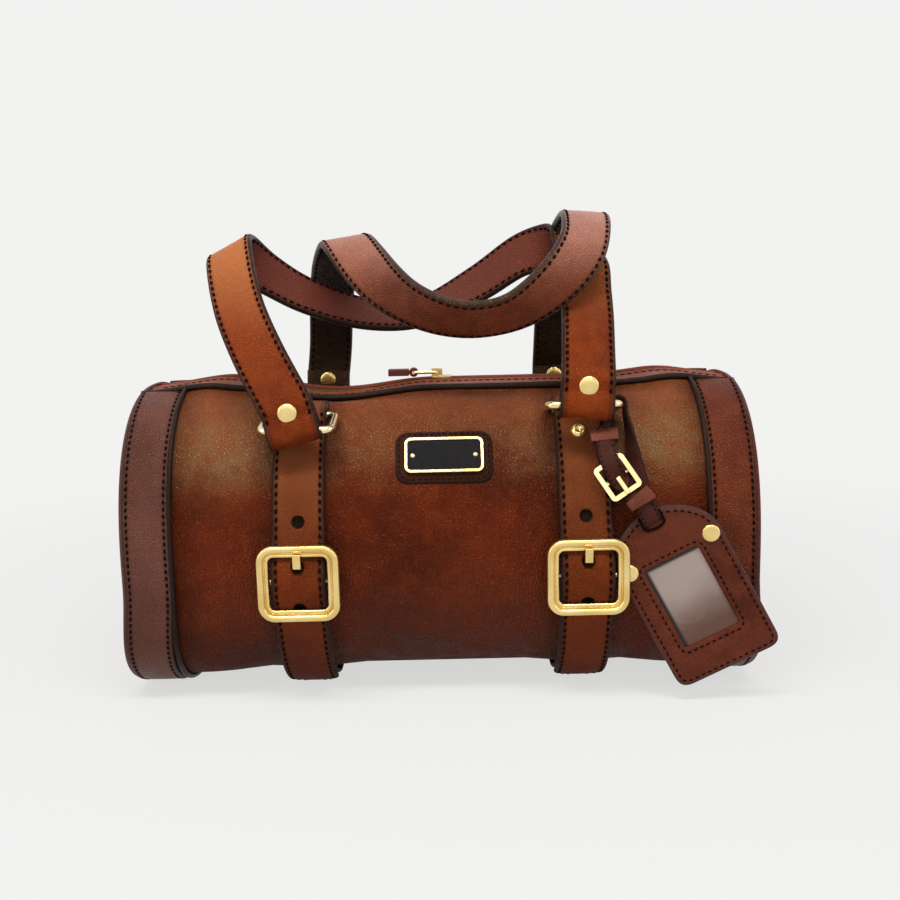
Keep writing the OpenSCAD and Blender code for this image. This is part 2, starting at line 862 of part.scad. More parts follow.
module fold() {
    difference() {
        translate([-strap_w / 2, 0, 0])
            rotate([90, 0, 90])
                linear_extrude(strap_w)
                    polygon(fold_side());
        for (z = [-fold_slack, fold_slack])
            translate([-strap_w, 0, z])
                rotate([0, 90, 0])
                    cylinder(r = fold_bore_half, h = 2 * strap_w);
        translate([-strap_w, -fold_bore_half, -fold_slack])
            cube([2 * strap_w, 2 * fold_bore_half, 2 * fold_slack]);
        translate([0, strap_w, fold_rivet])
            rotate([90, 0, 0])
                cylinder(d = handle_rivet_d / 3 + 2 * bar_fit, h = 2 * strap_w);
    }
}

module fold_rivet() {
    translate([0, fold_flat, fold_rivet])
        rotate([90, 0, 0])
            cylinder(d = handle_rivet_d / 3, h = 2 * fold_flat);
    for (s = [-1, 1])
        translate([0, s * fold_flat, fold_rivet])
            rotate([-s * 90, 0, 0])
                dome(handle_rivet_d, handle_rivet_d / 5);
}

// Fold places: sideways shift on the ring and lean of each handle's two ends
front_left_shift = -0.8;
front_right_shift = 1;
front_left_tilt = -9;
front_right_tilt = 4;
back_left_shift = -0.5;
back_right_shift = 0.5;
back_left_tilt = 2;
back_right_tilt = -1;
front_left_bar = outer_bar(-1, -1, front_left_lift);
front_right_bar = outer_bar(1, -1, front_right_lift);
back_left_bar = outer_bar(-1, 1, back_lift);
back_right_bar = outer_bar(1, 1, back_lift);

// Middle point of a handle at the top of its fold
function fold_end(bar, shift, tilt) =
    bar + [shift + (fold_top - cut) * sin(tilt), 0, (fold_top - cut) * cos(tilt)];

// Catmull-Rom curve through hand-chosen points, m steps a span
function curve_point(p0, p1, p2, p3, t) =
    ((2 * p1) + (p2 - p0) * t + (2 * p0 - 5 * p1 + 4 * p2 - p3) * t * t
     + (3 * p1 - p0 - 3 * p2 + p3) * t * t * t) / 2;
function curve(p, m) =
    let (n = len(p) - 1)
    concat([for (i = [0 : n - 1], j = [0 : m - 1])
                curve_point(p[max(i - 1, 0)], p[i], p[i + 1], p[min(i + 2, n)], j / m)],
           [p[n]]);

// Same curve through a closed round of points
function closed_curve(p, m) =
    let (n = len(p))
    [for (i = [0 : n - 1], j = [0 : m - 1])
        curve_point(p[(i + n - 1) % n], p[i], p[(i + 1) % n], p[(i + 2) % n], j / m)];

// Four corners of a band's section, square to its path
function section(c, t, w, width, thick) =
    let (across = unit(w - (w * t) * t))
    let (out = cross(t, across))
    [c - across * width / 2 - out * thick / 2, c + across * width / 2 - out * thick / 2,
     c + across * width / 2 + out * thick / 2, c - across * width / 2 + out * thick / 2];

// Band swept along middle points with width directions
module band_sweep(middle, across, width, thick, closed) {
    n = len(middle);
    corners = [for (i = [0 : n - 1])
        let (before = closed ? (i + n - 1) % n : max(i - 1, 0),
             after = closed ? (i + 1) % n : min(i + 1, n - 1))
        each section(middle[i], unit(middle[after] - middle[before]), across[i], width, thick)];
    spans = closed ? n : n - 1;
    sides = [for (i = [0 : spans - 1], j = [0 : 3], h = [0, 1])
        let (a = 4 * i + j, b = 4 * i + (j + 1) % 4)
        let (c = 4 * ((i + 1) % n) + j, d = 4 * ((i + 1) % n) + (j + 1) % 4)
        h == 0 ? [a, c, b] : [b, c, d]];
    ends = closed ? [] : [[0, 1, 2, 3], [4 * n - 1, 4 * n - 2, 4 * n - 3, 4 * n - 4]];
    polyhedron(corners, concat(sides, ends), convexity = 8);
}

// Handle routes: share of the half length, of the half depth and of the rise
front_route_shares = [
    [-0.583, -0.747, 0.18], [-0.651, -0.48, 0.475], [-0.705, -0.147, 0.795],
    [-0.692, 0.093, 0.782], [-0.61, 0.24, 0.654], [-0.475, 0.32, 0.5],
    [-0.271, 0.36, 0.372], [-0.068, 0.36, 0.372], [0.136, 0.32, 0.551],
    [0.285, 0.227, 0.731], [0.376, 0.16, 0.782], [0.447, 0.053, 0.788],
    [0.481, -0.107, 0.744], [0.492, -0.28, 0.66], [0.488, -0.413, 0.519],
    [0.481, -0.613, 0.333]
];
front_across = [
    [0.95, 0, 0.32], [0.93, 0, 0.36], [0.9, 0.05, 0.43],
    [0.72, 0.35, 0.58], [0.35, 0.62, 0.7], [0.15, 0.72, 0.68],
    [0.05, 0.8, 0.6], [-0.12, 0.82, 0.56], [-0.28, 0.68, 0.66],
    [-0.34, 0.56, 0.76], [-0.38, 0.22, 0.9], [-0.78, -0.2, 0.5],
    [-0.96, -0.08, 0.18], [-1, 0, 0.04], [-1, 0, 0],
    [-1, 0, 0.03]
];
back_route_shares = [
    [-0.434, 0.92, 0.128], [-0.417, 0.773, 0.423], [-0.386, 0.507, 0.679],
    [-0.339, 0.187, 0.84], [-0.305, -0.053, 0.833], [-0.244, -0.267, 0.705],
    [-0.176, -0.44, 0.577], [-0.088, -0.573, 0.462], [0.014, -0.667, 0.385],
    [0.115, -0.707, 0.359], [0.224, -0.707, 0.391], [0.322, -0.68, 0.487],
    [0.41, -0.64, 0.628], [0.471, -0.533, 0.788], [0.498, -0.267, 0.942],
    [0.502, 0.027, 0.974], [0.481, 0.32, 0.846], [0.468, 0.613, 0.609],
    [0.458, 0.827, 0.333]
];
back_across = [
    [1, 0, -0.03], [1, 0, -0.03], [1, 0, 0.02],
    [0.98, 0.08, 0.1], [0.96, 0.02, 0.22], [0.86, -0.28, 0.36],
    [0.7, -0.48, 0.48], [0.45, -0.64, 0.6], [0.22, -0.72, 0.66],
    [0, -0.74, 0.67], [-0.22, -0.7, 0.66], [-0.42, -0.52, 0.72],
    [-0.64, -0.28, 0.66], [-0.84, -0.12, 0.5], [-0.98, -0.05, 0.18],
    [-1, 0, 0.05], [-1, 0, 0.05], [-1, 0, 0.04],
    [-1, 0, 0.02]
];
route_steps = 4;
top_z = band_t + body_height;

// Route in millimetres from its shares
function route(shares) =
    [for (s = shares)
        [s[0] * half_length, s[1] * body_depth / 2, top_z + s[2] * handle_rise]];

// Width direction of a fold that leans by tilt
function fold_across(tilt, s) = [s * cos(tilt), 0, -s * sin(tilt)];

module handle(start, end, start_tilt, end_tilt, shares, across) {
    middle = curve(concat([start], route(shares), [end]), route_steps);
    wide = curve(concat([fold_across(start_tilt, 1)], across, [fold_across(end_tilt, -1)]),
                 route_steps);
    band_sweep(middle, wide, strap_w, handle_t, false);
}

module front_handle_leather() {
    color("#9a4e22") {
        handle(fold_end(front_left_bar, front_left_shift, front_left_tilt),
               fold_end(front_right_bar, front_right_shift, front_right_tilt),
               front_left_tilt, front_right_tilt, front_route_shares, front_across);
        at_bar(front_left_bar, front_left_shift, front_left_tilt)
            fold();
        at_bar(front_right_bar, front_right_shift, front_right_tilt)
            fold();
    }
}

// The front handle's eyes are worn round along the line between its two bars
module front_handle() {
    reach = unit(front_right_bar - front_left_bar) * strap_w;
    difference() {
        front_handle_leather();
        rod(front_left_bar - reach, front_right_bar + reach, 2 * fold_bore_half + 4 * bar_fit);
    }
}

module back_handle() {
    color("#8f461f") {
        handle(fold_end(back_left_bar, back_left_shift, back_left_tilt),
               fold_end(back_right_bar, back_right_shift, back_right_tilt),
               back_left_tilt, back_right_tilt, back_route_shares, back_across);
        at_bar(back_left_bar, back_left_shift, back_left_tilt)
            fold();
        at_bar(back_right_bar, back_right_shift, back_right_tilt)
            fold();
    }
}

module front_handle_rivets() {
    color("#d8b660") {
        at_bar(front_left_bar, front_left_shift, front_left_tilt)
            fold_rivet();
        at_bar(front_right_bar, front_right_shift, front_right_tilt)
            fold_rivet();
    }
}

module back_handle_rivets() {
    color("#d8b660") {
        at_bar(back_left_bar, back_left_shift, back_left_tilt)
            fold_rivet();
        at_bar(back_right_bar, back_right_shift, back_right_tilt)
            fold_rivet();
    }
}

// Plaque: a plain enamelled plate on a leather patch, flat on the curved front
plaque_angle = 54.5;
plaque_x = 1.5;
patch_t = 1.6;
patch_r = 6;
patch_sag = patch_h * patch_h / (4 * body_depth);
rim_w = patch_w - 2 * patch_border;
rim_h = patch_h - 2 * patch_border;
rim_bar = 1.4;
rim_t = 1.6;
enamel_t = 1;
pin_d = 2.4;
pin_t = 0.7;

// Frame on the patch's flat top, X along the barrel and Z outward
module on_patch(lift) {
    at_skin(plaque_x, plaque_angle, 0)
        translate([0, 0, patch_t + lift])
            children();
}

module plaque_patch() {
    color("#3c1c12")
        difference() {
            on_patch(-patch_t - patch_sag - cut)
                round_plate(patch_w, patch_h, patch_r, patch_t + patch_sag + cut);
            along_x(-inner_half, inner_half)
                whole_outline(0);
        }
}

module plaque_rim() {
    color("#d2ad55")
        on_patch(0)
            difference() {
                round_plate(rim_w, rim_h, patch_r - patch_border + rim_bar, rim_t);
                translate([0, 0, -cut])
                    round_plate(rim_w - 2 * rim_bar, rim_h - 2 * rim_bar,
                                patch_r - patch_border, rim_t + 2 * cut);
            }
}

module plaque_enamel() {
    color("#121212")
        on_patch(0)
            round_plate(rim_w - 2 * rim_bar, rim_h - 2 * rim_bar, patch_r - patch_border, enamel_t);
}

module plaque_pins() {
    color("#e6c878")
        for (s = [-1, 1])
            on_patch(enamel_t)
                translate([s * (rim_w / 2 - rim_bar - pin_d), 0, 0])
                    dome(pin_d, pin_t);
}

// Tag: its strap loops over the right ring's side bar and through the tag's slot
tag_tilt = 28.2;
tag_turn = -5.5;
tag_drop = 49.8;
tag_aside = 13.3;
tag_top_above = 5.6;
tag_shoulder_share = 0.2;
tag_power = 1.11;
tag_edge_r = 5;
slot_w = tag_strap_w + 4 * clearance;
slot_h = 5.6;
window_t = 0.4;
window_drop = 40;
window_aside = 1;
snap_drop = 16.5;
snap_out = 20.3;
loop_radius = ring_wire / 2 + 2 * ring_slack + clearance + tag_strap_t / 2;

// Middle of the side bar where the loop hangs
side_bar_y = 10.4;
bar_hook = [
    strap_x + (ring_w - ring_wire) / 2,
    ring_axis[0] - side_bar_y * cos(front_right_lift),
    ring_axis[1] + side_bar_y * sin(front_right_lift)
];
tag_stand = tag_w / 2 * sin(-tag_turn) + tag_leaf_t + window_t / 2 + clearance;
tag_hang = [tag_aside, front_y - tag_stand - bar_hook[1], -tag_drop];
tag_slot = bar_hook + tag_hang;

// Frame of the tag: X across it, Z up along it, Y to its back, origin in the slot
module at_tag() {
    translate(tag_slot)
        rotate([0, -tag_tilt, 0])
            rotate([0, 0, tag_turn])
                children();
}

// Outline of a leaf: square below, round above its shoulders
module leaf_outline() {
    half = tag_w / 2;
    low = -tag_l;
    shoulder = -tag_l * tag_shoulder_share;
    rise = tag_top_above - shoulder;
    polygon(concat(
        [for (t = [180 : 15 : 270])
            [-half + tag_edge_r + tag_edge_r * cos(t), low + tag_edge_r + tag_edge_r * sin(t)]],
        [for (t = [270 : 15 : 360])
            [half - tag_edge_r + tag_edge_r * cos(t), low + tag_edge_r + tag_edge_r * sin(t)]],
        [for (t = [0 : 12 : 180])
            [half * signed_power(cos(t), tag_power),
             shoulder + rise * signed_power(sin(t), tag_power)]]));
}

// Leaf of leather from y1 to its back by its thickness, with the strap's slot
module leaf(y1) {
    difference() {
        translate([0, y1 + tag_leaf_t, 0])
            rotate([90, 0, 0])
                linear_extrude(tag_leaf_t)
                    leaf_outline();
        translate([-slot_w / 2, y1 - cut, -slot_h / 2])
            cube([slot_w, tag_leaf_t + 2 * cut, slot_h]);
    }
}

module tag_front_leaf() {
    color("#4a1d18")
        at_tag()
            difference() {
                leaf(-tag_leaf_t - window_t / 2);
                translate([-tag_window_w / 2 - window_aside, -tag_leaf_t - window_t - cut,
                           -window_drop - tag_window_h / 2])
                    cube([tag_window_w, tag_leaf_t + window_t + cut, tag_window_h]);
            }
}

module tag_back_leaf() {
    color("#46201a")
        at_tag()
            leaf(window_t / 2);
}

module tag_window() {
    margin = 4;
    color("#9a9a98")
        at_tag()
            translate([-tag_window_w / 2 - window_aside - margin, -window_t / 2,
                       -window_drop - tag_window_h / 2 - margin])
                cube([tag_window_w + 2 * margin, window_t, tag_window_h + 2 * margin]);
}

module tag_snaps() {
    color("#dcbb62")
        at_tag()
            for (s = [-1, 1])
                translate([s * snap_out, -tag_leaf_t - window_t / 2, -snap_drop])
                    rotate([90, 0, 0])
                        dome(snap_d, snap_d / 6);
}

// Loop of the tag's strap: share of the hang in X, Y and Z, and turns of its radius
loop_shares = [
    [0, 0, 0, 0, 1], [0, 0, 0, -1, 0], [0.02, 0.1, 0.14, -1, 0],
    [-0.3, 0.34, 0.2, -0.6, 0], [-0.54, 0.56, 0.24, 0, 0], [-0.46, 0.73, 0.42, 0, 0],
    [-0.17, 0.84, 0.6, 0, 0], [0.26, 0.97, 0.72, 0, 0], [0.54, 1.12, 0.78, 0, 0],
    [0.86, 1.15, 0.94, 0, 0], [1, 1, 1.015, 0, 0], [0.9, 0.85, 0.93, 0, 0],
    [0.62, 0.9, 0.82, 0, 0], [0.5, 0.79, 0.66, 0.2, 0], [0.3, 0.56, 0.45, 0.5, 0],
    [0.14, 0.28, 0.24, 0.8, 0], [0, 0.06, 0.08, 1, 0], [0, 0, 0, 0.8, 0.6]
];
loop_across = [
    [0, -0.97, 0.23], [0, -0.97, 0.23], [0.4, -0.9, 0.2],
    [0.8, -0.6, 0.1], [0.97, 0, 0.2], [0.93, 0, 0.36],
    [0.9, 0, 0.42], [0.89, 0, 0.45], [0.89, 0, 0.45],
    [0.89, 0, 0.45], [0.89, 0, 0.45], [0.89, 0, 0.45],
    [0.89, 0, 0.45], [0.88, -0.2, 0.4], [0.6, -0.7, 0.3],
    [0.25, -0.93, 0.25], [0, -0.97, 0.23], [0, -0.97, 0.23]
];
loop_steps = 3;
high_keeper_step = 12;
low_keeper_step = 24;
tag_buckle_step = 18;

// Point of the loop from its shares
function loop_point(s) =
    bar_hook + [s[0] * tag_hang[0] + s[3] * loop_radius, s[1] * tag_hang[1],
                s[2] * tag_hang[2] + s[4] * loop_radius];

function loop_middle() = closed_curve([for (s = loop_shares) loop_point(s)], loop_steps);
function loop_wide() = closed_curve(loop_across, loop_steps);

module tag_strap() {
    color("#3a1a1a")
        band_sweep(loop_middle(), loop_wide(), tag_strap_w, tag_strap_t, true);
}

// Stretch of the loop round one of its steps, thicker all round by grow
module loop_stretch(step, reach, grow) {
    middle = loop_middle();
    wide = loop_wide();
    ways = [for (k = [-1, 1]) middle[step + k] - middle[step]];
    mid_w = wide[step];
    band_sweep([middle[step] + unit(ways[0]) * reach, middle[step],
                middle[step] + unit(ways[1]) * reach],
               [mid_w, mid_w, mid_w],
               tag_strap_w + 2 * grow, tag_strap_t + 2 * grow, false);
}

// Sleeve round the strap
keeper_h = 5;
keeper_wall = 1;
keeper_space = 0.7;

module keeper(step) {
    difference() {
        loop_stretch(step, keeper_h / 2, keeper_space + keeper_wall);
        loop_stretch(step, keeper_h, keeper_space);
    }
}

module tag_keepers() {
    color("#6b3a30") {
        keeper(high_keeper_step);
        keeper(low_keeper_step);
    }
}

// Small buckle on the tag's strap, in the strap's own frame: X across, Z up it
small_w = 15.6;
small_h = 17.6;
small_bar = 2.1;
small_t = 1.5;
small_gap = 0.8;

module at_small_buckle() {
    middle = loop_middle();
    down = unit(middle[tag_buckle_step + 1] - middle[tag_buckle_step - 1]);
    wide = loop_wide()[tag_buckle_step];
    across = unit(wide - (wide * down) * down);
    back = cross(across, down);
    c = middle[tag_buckle_step];
    multmatrix([[across[0], back[0], -down[0], c[0]],
                [across[1], back[1], -down[1], c[1]],
                [across[2], back[2], -down[2], c[2]]])
        children();
}

module tag_buckle_frame() {
    front = -tag_strap_t / 2 - small_gap;
    color("#f0dca0")
        at_small_buckle() {
            translate([0, front, 0])
                standing_ring(small_w, small_h, small_bar, small_bar + bar_fit, small_t);
            rod([-small_w / 2 + bar_fit, -front + small_bar / 2, 0],
                [small_w / 2 - bar_fit, -front + small_bar / 2, 0], small_bar);
            for (s = [-1, 1])
                translate([s * (small_w - small_bar) / 2 - small_bar / 2 + bar_fit, front - bar_fit,
                           -small_bar / 2])
                    cube([small_bar - 2 * bar_fit, -2 * front + small_bar / 2 + bar_fit, small_bar]);
        }
}

module tag_buckle_prong() {
    front = -tag_strap_t / 2 - small_gap - small_t;
    color("#f0dca0")
        at_small_buckle()
            translate([-small_bar / 2, front - small_bar / 2, -small_h / 2 + bar_fit])
                cube([small_bar, small_bar / 2, small_h / 2]);
}

body_panel();
base_patch();
lining();
end_panel(-1);  // left_end_panel
end_panel(1);  // right_end_panel
end_band(-1);  // left_end_band
end_band(1);  // right_end_band
end_welt(-1);  // left_end_welt
end_welt(1);  // right_end_welt
piping(-1);  // front_piping
piping(1);  // back_piping
gusset(-1);  // front_gusset
gusset(1);  // back_gusset
zip_tape(-1);  // front_zip_tape
zip_tape(1);  // back_zip_tape
zip_teeth(-1);  // front_zip_teeth
zip_teeth(1);  // back_zip_teeth
zip_end(-1);  // left_zip_end
zip_end(1);  // right_zip_end
zip_slider();
zip_pull_loop();
zip_pull_tab();
front_strap(-1);  // left_front_strap
front_strap(1);  // right_front_strap
under_strap(-1);  // left_under_strap
under_strap(1);  // right_under_strap
strap_rivet(-1);  // left_strap_rivet
strap_rivet(1);  // right_strap_rivet
buckle_frame(-1);  // left_buckle_frame
buckle_frame(1);  // right_buckle_frame
buckle_prong(-1);  // left_buckle_prong
buckle_prong(1);  // right_buckle_prong
buckle_chape(-1);  // left_buckle_chape
buckle_chape(1);  // right_buckle_chape
handle_ring(-1, -1, front_left_lift);  // left_front_ring
handle_ring(1, -1, front_right_lift);  // right_front_ring
handle_ring(-1, 1, back_lift);  // left_back_ring
handle_ring(1, 1, back_lift);  // right_back_ring
front_handle();
back_handle();
front_handle_rivets();
back_handle_rivets();
plaque_patch();
plaque_rim();
plaque_enamel();
plaque_pins();
tag_strap();
tag_keepers();
tag_buckle_frame();
tag_buckle_prong();
tag_front_leaf();
tag_back_leaf();
tag_window();
tag_snaps();
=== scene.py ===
# %% [markdown]
# # A barrel handbag, dressed in leather and brass
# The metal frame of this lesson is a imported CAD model: every solid is already in place and already
# moves on its joints. What it lacks is leather that looks like leather. Here each soft solid gets a
# finer skin, worked out with numpy, and each metal piece gets rounded edges, so light can run along them.

# %% Load the fixed frame
import math
import bmesh
import bpy
import numpy as np
from mathutils import Matrix, Vector


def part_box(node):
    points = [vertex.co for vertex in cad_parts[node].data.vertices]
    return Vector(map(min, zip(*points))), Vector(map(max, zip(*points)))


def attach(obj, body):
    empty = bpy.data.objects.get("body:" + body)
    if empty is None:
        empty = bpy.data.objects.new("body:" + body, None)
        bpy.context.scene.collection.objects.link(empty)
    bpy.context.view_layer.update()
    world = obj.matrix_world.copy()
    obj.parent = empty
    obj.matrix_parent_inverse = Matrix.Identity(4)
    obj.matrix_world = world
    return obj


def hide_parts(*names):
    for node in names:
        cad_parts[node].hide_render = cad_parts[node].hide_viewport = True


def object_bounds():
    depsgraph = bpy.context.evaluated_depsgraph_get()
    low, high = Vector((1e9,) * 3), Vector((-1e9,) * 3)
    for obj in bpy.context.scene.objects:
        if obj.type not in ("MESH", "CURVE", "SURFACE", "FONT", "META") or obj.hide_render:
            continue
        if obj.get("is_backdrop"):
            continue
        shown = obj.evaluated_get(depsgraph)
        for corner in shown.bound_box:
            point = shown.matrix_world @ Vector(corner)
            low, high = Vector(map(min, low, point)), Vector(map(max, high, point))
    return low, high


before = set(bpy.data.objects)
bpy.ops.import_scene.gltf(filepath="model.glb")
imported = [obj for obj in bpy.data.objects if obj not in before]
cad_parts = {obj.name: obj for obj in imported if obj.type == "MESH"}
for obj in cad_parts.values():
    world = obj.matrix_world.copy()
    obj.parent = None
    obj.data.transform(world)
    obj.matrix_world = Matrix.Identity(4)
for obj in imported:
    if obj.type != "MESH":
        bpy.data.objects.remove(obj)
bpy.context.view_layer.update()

# %% [markdown]
# ## The camera
# The photograph looks at the front from a little above, tipped by about a degree. A camera is three
# directions and a place, so its matrix is written from them: right, up, and back along the view.

# %% Camera
PITCH, ROLL = math.radians(9.8), math.radians(1.3)
EYE = (0.0043, -0.530, 0.200)
SENSOR, FOCAL, PHOTO = 36.0, 1028.0, 900.0  # in millimetres, then two in pixels
ahead = Vector((0, math.cos(PITCH), -math.sin(PITCH)))
lift = Vector((0, math.sin(PITCH), math.cos(PITCH)))
level = Vector((1, 0, 0))
right = level * math.cos(ROLL) - lift * math.sin(ROLL)
up = level * math.sin(ROLL) + lift * math.cos(ROLL)
lens = bpy.data.cameras.new("camera")
lens.sensor_width, lens.lens = SENSOR, FOCAL / PHOTO * SENSOR
camera = bpy.data.objects.new("camera", lens)
bpy.context.scene.collection.objects.link(camera)
camera.matrix_world = Matrix.Translation(EYE) @ Matrix((right, up, -ahead)).transposed().to_4x4()
bpy.context.scene.camera = camera
print("lens", round(lens.lens, 2), "mm")

# %% [markdown]
# ## The barrel's outline
# The bag's section is round above its waist and fuller below, and it is cut flat where it stands.
# A superellipse gives both: y is a sine to a power and z a cosine to a power. Angles start at the top
# and go by the front, so 90 degrees faces the viewer and 180 is the underside.

# %% Outline of the barrel
MM = 0.001
HALF, DEPTH, HEIGHT = 146 * MM, 150 * MM, 148 * MM
BAND_T, PANEL_T, STRAP_T = 2.2 * MM, 2.5 * MM, 2.8 * MM
BAND_HALF, STRAP_HALF, STRAP_X = 11 * MM, 12.25 * MM, 65.5 * MM
WAIST_SHARE, BASE_CUT = 0.446, 0.017
LOW = HEIGHT * WAIST_SHARE
HIGH, WAIST = HEIGHT - LOW, BAND_T + LOW
REACH = LOW + HEIGHT * BASE_CUT
END_SHRINK, END_DROP, END_POWER = 3.2 * MM, 4.8 * MM, 0.45
FULL_AT = np.array([0, 38, 53, 59, 72, 78, 88, 100, 128]) * MM
FULLNESS = [2.0, 2.0, 2.2, 2.5, 2.5, 2.25, 2.15, 2.35, 3.1]
OPEN_HANG, TOP_HANG, SLACK = 4.2 * MM, 2.3 * MM, 1.6 * MM


def signed_power(v, p):
    """The sign of v times its size to the power p."""
    return np.sign(v) * np.abs(v) ** p


def smoothstep(low, high, x):
    """0 below low, 1 above high, and 3t^2 - 2t^3 between."""
    t = np.clip((x - low) / (high - low), 0, 1)
    return t * t * (3 - 2 * t)


def section_at(x):
    """Outline at x: half depth, waist, top, reach below, and the powers above and below, all easing
    towards the end bands."""
    x = np.abs(x)
    end = smoothstep(0.098, 0.128, x)
    low = np.interp(x, FULL_AT, FULLNESS)
    top = WAIST + HIGH - END_DROP * smoothstep(0.104, 0.149, x)
    deep, waist = DEPTH / 2 - END_SHRINK * end, WAIST - END_SHRINK * end
    return deep, waist, top, REACH - END_DROP * end, 2 + END_POWER * end, low


def barrel(angle, out=0.0, x=STRAP_X):
    """Y and Z of the leather at angles in degrees, moved outward by out: y = -half depth sin^(2/n), z =
    waist + reach cos^(2/n)."""
    a = np.radians(np.asarray(angle, float))
    s, c = np.sin(a), np.cos(a)
    deep, waist, top, below, n_up, n_low = section_at(x)
    n = np.where(c >= 0, n_up, n_low)
    reach = np.where(c >= 0, top - waist, below)
    y = -deep * signed_power(s, 2 / n)
    z = waist + reach * signed_power(c, 2 / n)
    ny = -signed_power(s, 2 * (n - 1) / n) / deep
    nz = signed_power(c, 2 * (n - 1) / n) / reach
    size = np.hypot(ny, nz)
    flat = z < BAND_T
    y2 = np.where(flat, y, y + out * ny / size)
    z2 = np.where(flat, BAND_T - out, z + out * nz / size)
    return np.stack([y2, z2], -1)


def outward(angle, x=STRAP_X):
    """Unit vector out of the leather, as Y and Z, from two near points of the outline."""
    p, q = barrel(np.asarray(angle) - 0.05, 0.0, x), barrel(np.asarray(angle) + 0.05, 0.0, x)
    d = q - p
    n = np.stack([d[..., 1], -d[..., 0]], -1)
    return n / np.linalg.norm(n, axis=-1, keepdims=True)


def angle_of(y, x):
    """Angle at which the upper leather lies y in front of the middle: sin^(2/n) = y / half depth,
    solved for the angle."""
    deep, _, _, _, n, _ = section_at(x)
    share = y / deep
    return np.degrees(np.arcsin(np.sign(share) * np.abs(share) ** (n / 2)))


def dip(x, angle):
    """How far the top hangs: 2.3 mm between the straps and a cos^2 hump by the open zip, both fading
    down to the straps' tops."""
    far = np.minimum(np.abs((x + 51 * MM) / (47 * MM)), 1)
    turn = np.minimum(np.mod(angle, 360), 360 - np.mod(angle, 360))
    return (OPEN_HANG * np.cos(far * np.pi / 2) ** 2 + TOP_HANG * middle_part(x)) * smoothstep(31, 20, turn)


def middle_part(x):
    """1 along the middle of the bag and 0 at its ends."""
    return smoothstep(0.118, 0.070, np.abs(x - 4 * MM))


def flare(z):
    """How far the ends spread outward near the floor, where the filled bag rests on its rims."""
    return 3.8 * MM * smoothstep(0.060, 0.014, z)


print("top", barrel(0.0), "front", barrel(90.0))

# %% [markdown]
# ## Turning arrays into meshes
# Almost every piece here is a closed outline carried along a path: a strap, a cord of piping, a ring
# or a band. Points then form a grid of rows and columns, and the faces follow from counting.

# %% Meshes from grids
def put_mesh(name, points, faces, marks=None, smooth=True):
    """A mesh object from points (n, 3) and faces; marks are named numbers for each point that materials
    can read."""
    mesh = bpy.data.meshes.new(name)
    mesh.from_pydata(np.asarray(points).reshape(-1, 3).tolist(), [], faces)
    mesh.polygons.foreach_set("use_smooth", np.full(len(mesh.polygons), smooth))
    for key, values in (marks or {}).items():
        layer = mesh.attributes.new(key, "FLOAT", "POINT")
        layer.data.foreach_set("value", np.ascontiguousarray(values, np.float32).reshape(-1))
    mesh.update()
    piece = bpy.data.objects.new(name, mesh)
    bpy.context.scene.collection.objects.link(piece)
    return piece


def tube_faces(rows, cols, closed=False, capped=True):
    """Quads between the rings of a tube: ring i meets ring i+1; the ends are capped where the path
    isn't closed."""
    last = rows if closed else rows - 1
    i, j = np.meshgrid(np.arange(last), np.arange(cols), indexing="ij")
    a, b = i * cols + j, i * cols + (j + 1) % cols
    k = (i + 1) % rows
    c, d = k * cols + j, k * cols + (j + 1) % cols
    faces = np.stack([a, b, d, c], -1).reshape(-1, 4).tolist()
    if not closed and capped:
        faces.append(list(range(cols))[::-1])
        faces.append([(rows - 1) * cols + m for m in range(cols)])
    return faces


def face_out(piece):
    """Turns all faces outward, for a closed shape."""
    bm = bmesh.new()
    bm.from_mesh(piece.data)
    bmesh.ops.recalc_face_normals(bm, faces=bm.faces)
    bm.to_mesh(piece.data)
    bm.free()
    return piece


def closed_mesh(name, points, faces, marks=None):
    """A mesh object of a closed shape, with its faces turned outward."""
    return face_out(put_mesh(name, points, faces, marks))


def unit(v):
    """Each row of v, made one long."""
    return v / np.maximum(np.linalg.norm(v, axis=-1, keepdims=True), 1e-12)


def frames(path, across):
    """Path directions by central difference, width directions squared to them, and outward = along x
    across."""
    along = unit(np.gradient(path, axis=0))
    across = unit(across - (across * along).sum(-1, keepdims=True) * along)
    return along, across, np.cross(along, across)


def arc(path):
    """Distance along a path up to each of its points."""
    return np.concatenate([[0], np.cumsum(np.linalg.norm(np.diff(path, axis=0), axis=1))])


def circle(n):
    """n even angles round a circle, in radians."""
    return np.linspace(0, 2 * np.pi, n + 1)[:-1]


# %% [markdown]
# ## A strip of leather
# A cut strap isn't a flat box. Its face is a little crowned, its edges are rounded and painted, and
# each row of stitches pulls a shallow groove beside them. The section below has all three, and a hole
# is a steep dimple pressed into the crowned face. Numbers stored on each point tell the material where
# the painted edge, the inner side, the stitched seam and the holes are; the seam and the holes get
# painted shade.

# %% Strip of leather
def section_columns(fine):
    """Places across a strip from -1 to 1, closer together at the edges."""
    edge = np.array([0.93, 0.955, 0.975, 0.99, 1.0])
    return np.unique(np.concatenate([np.linspace(-1, 1, fine), edge, -edge]))


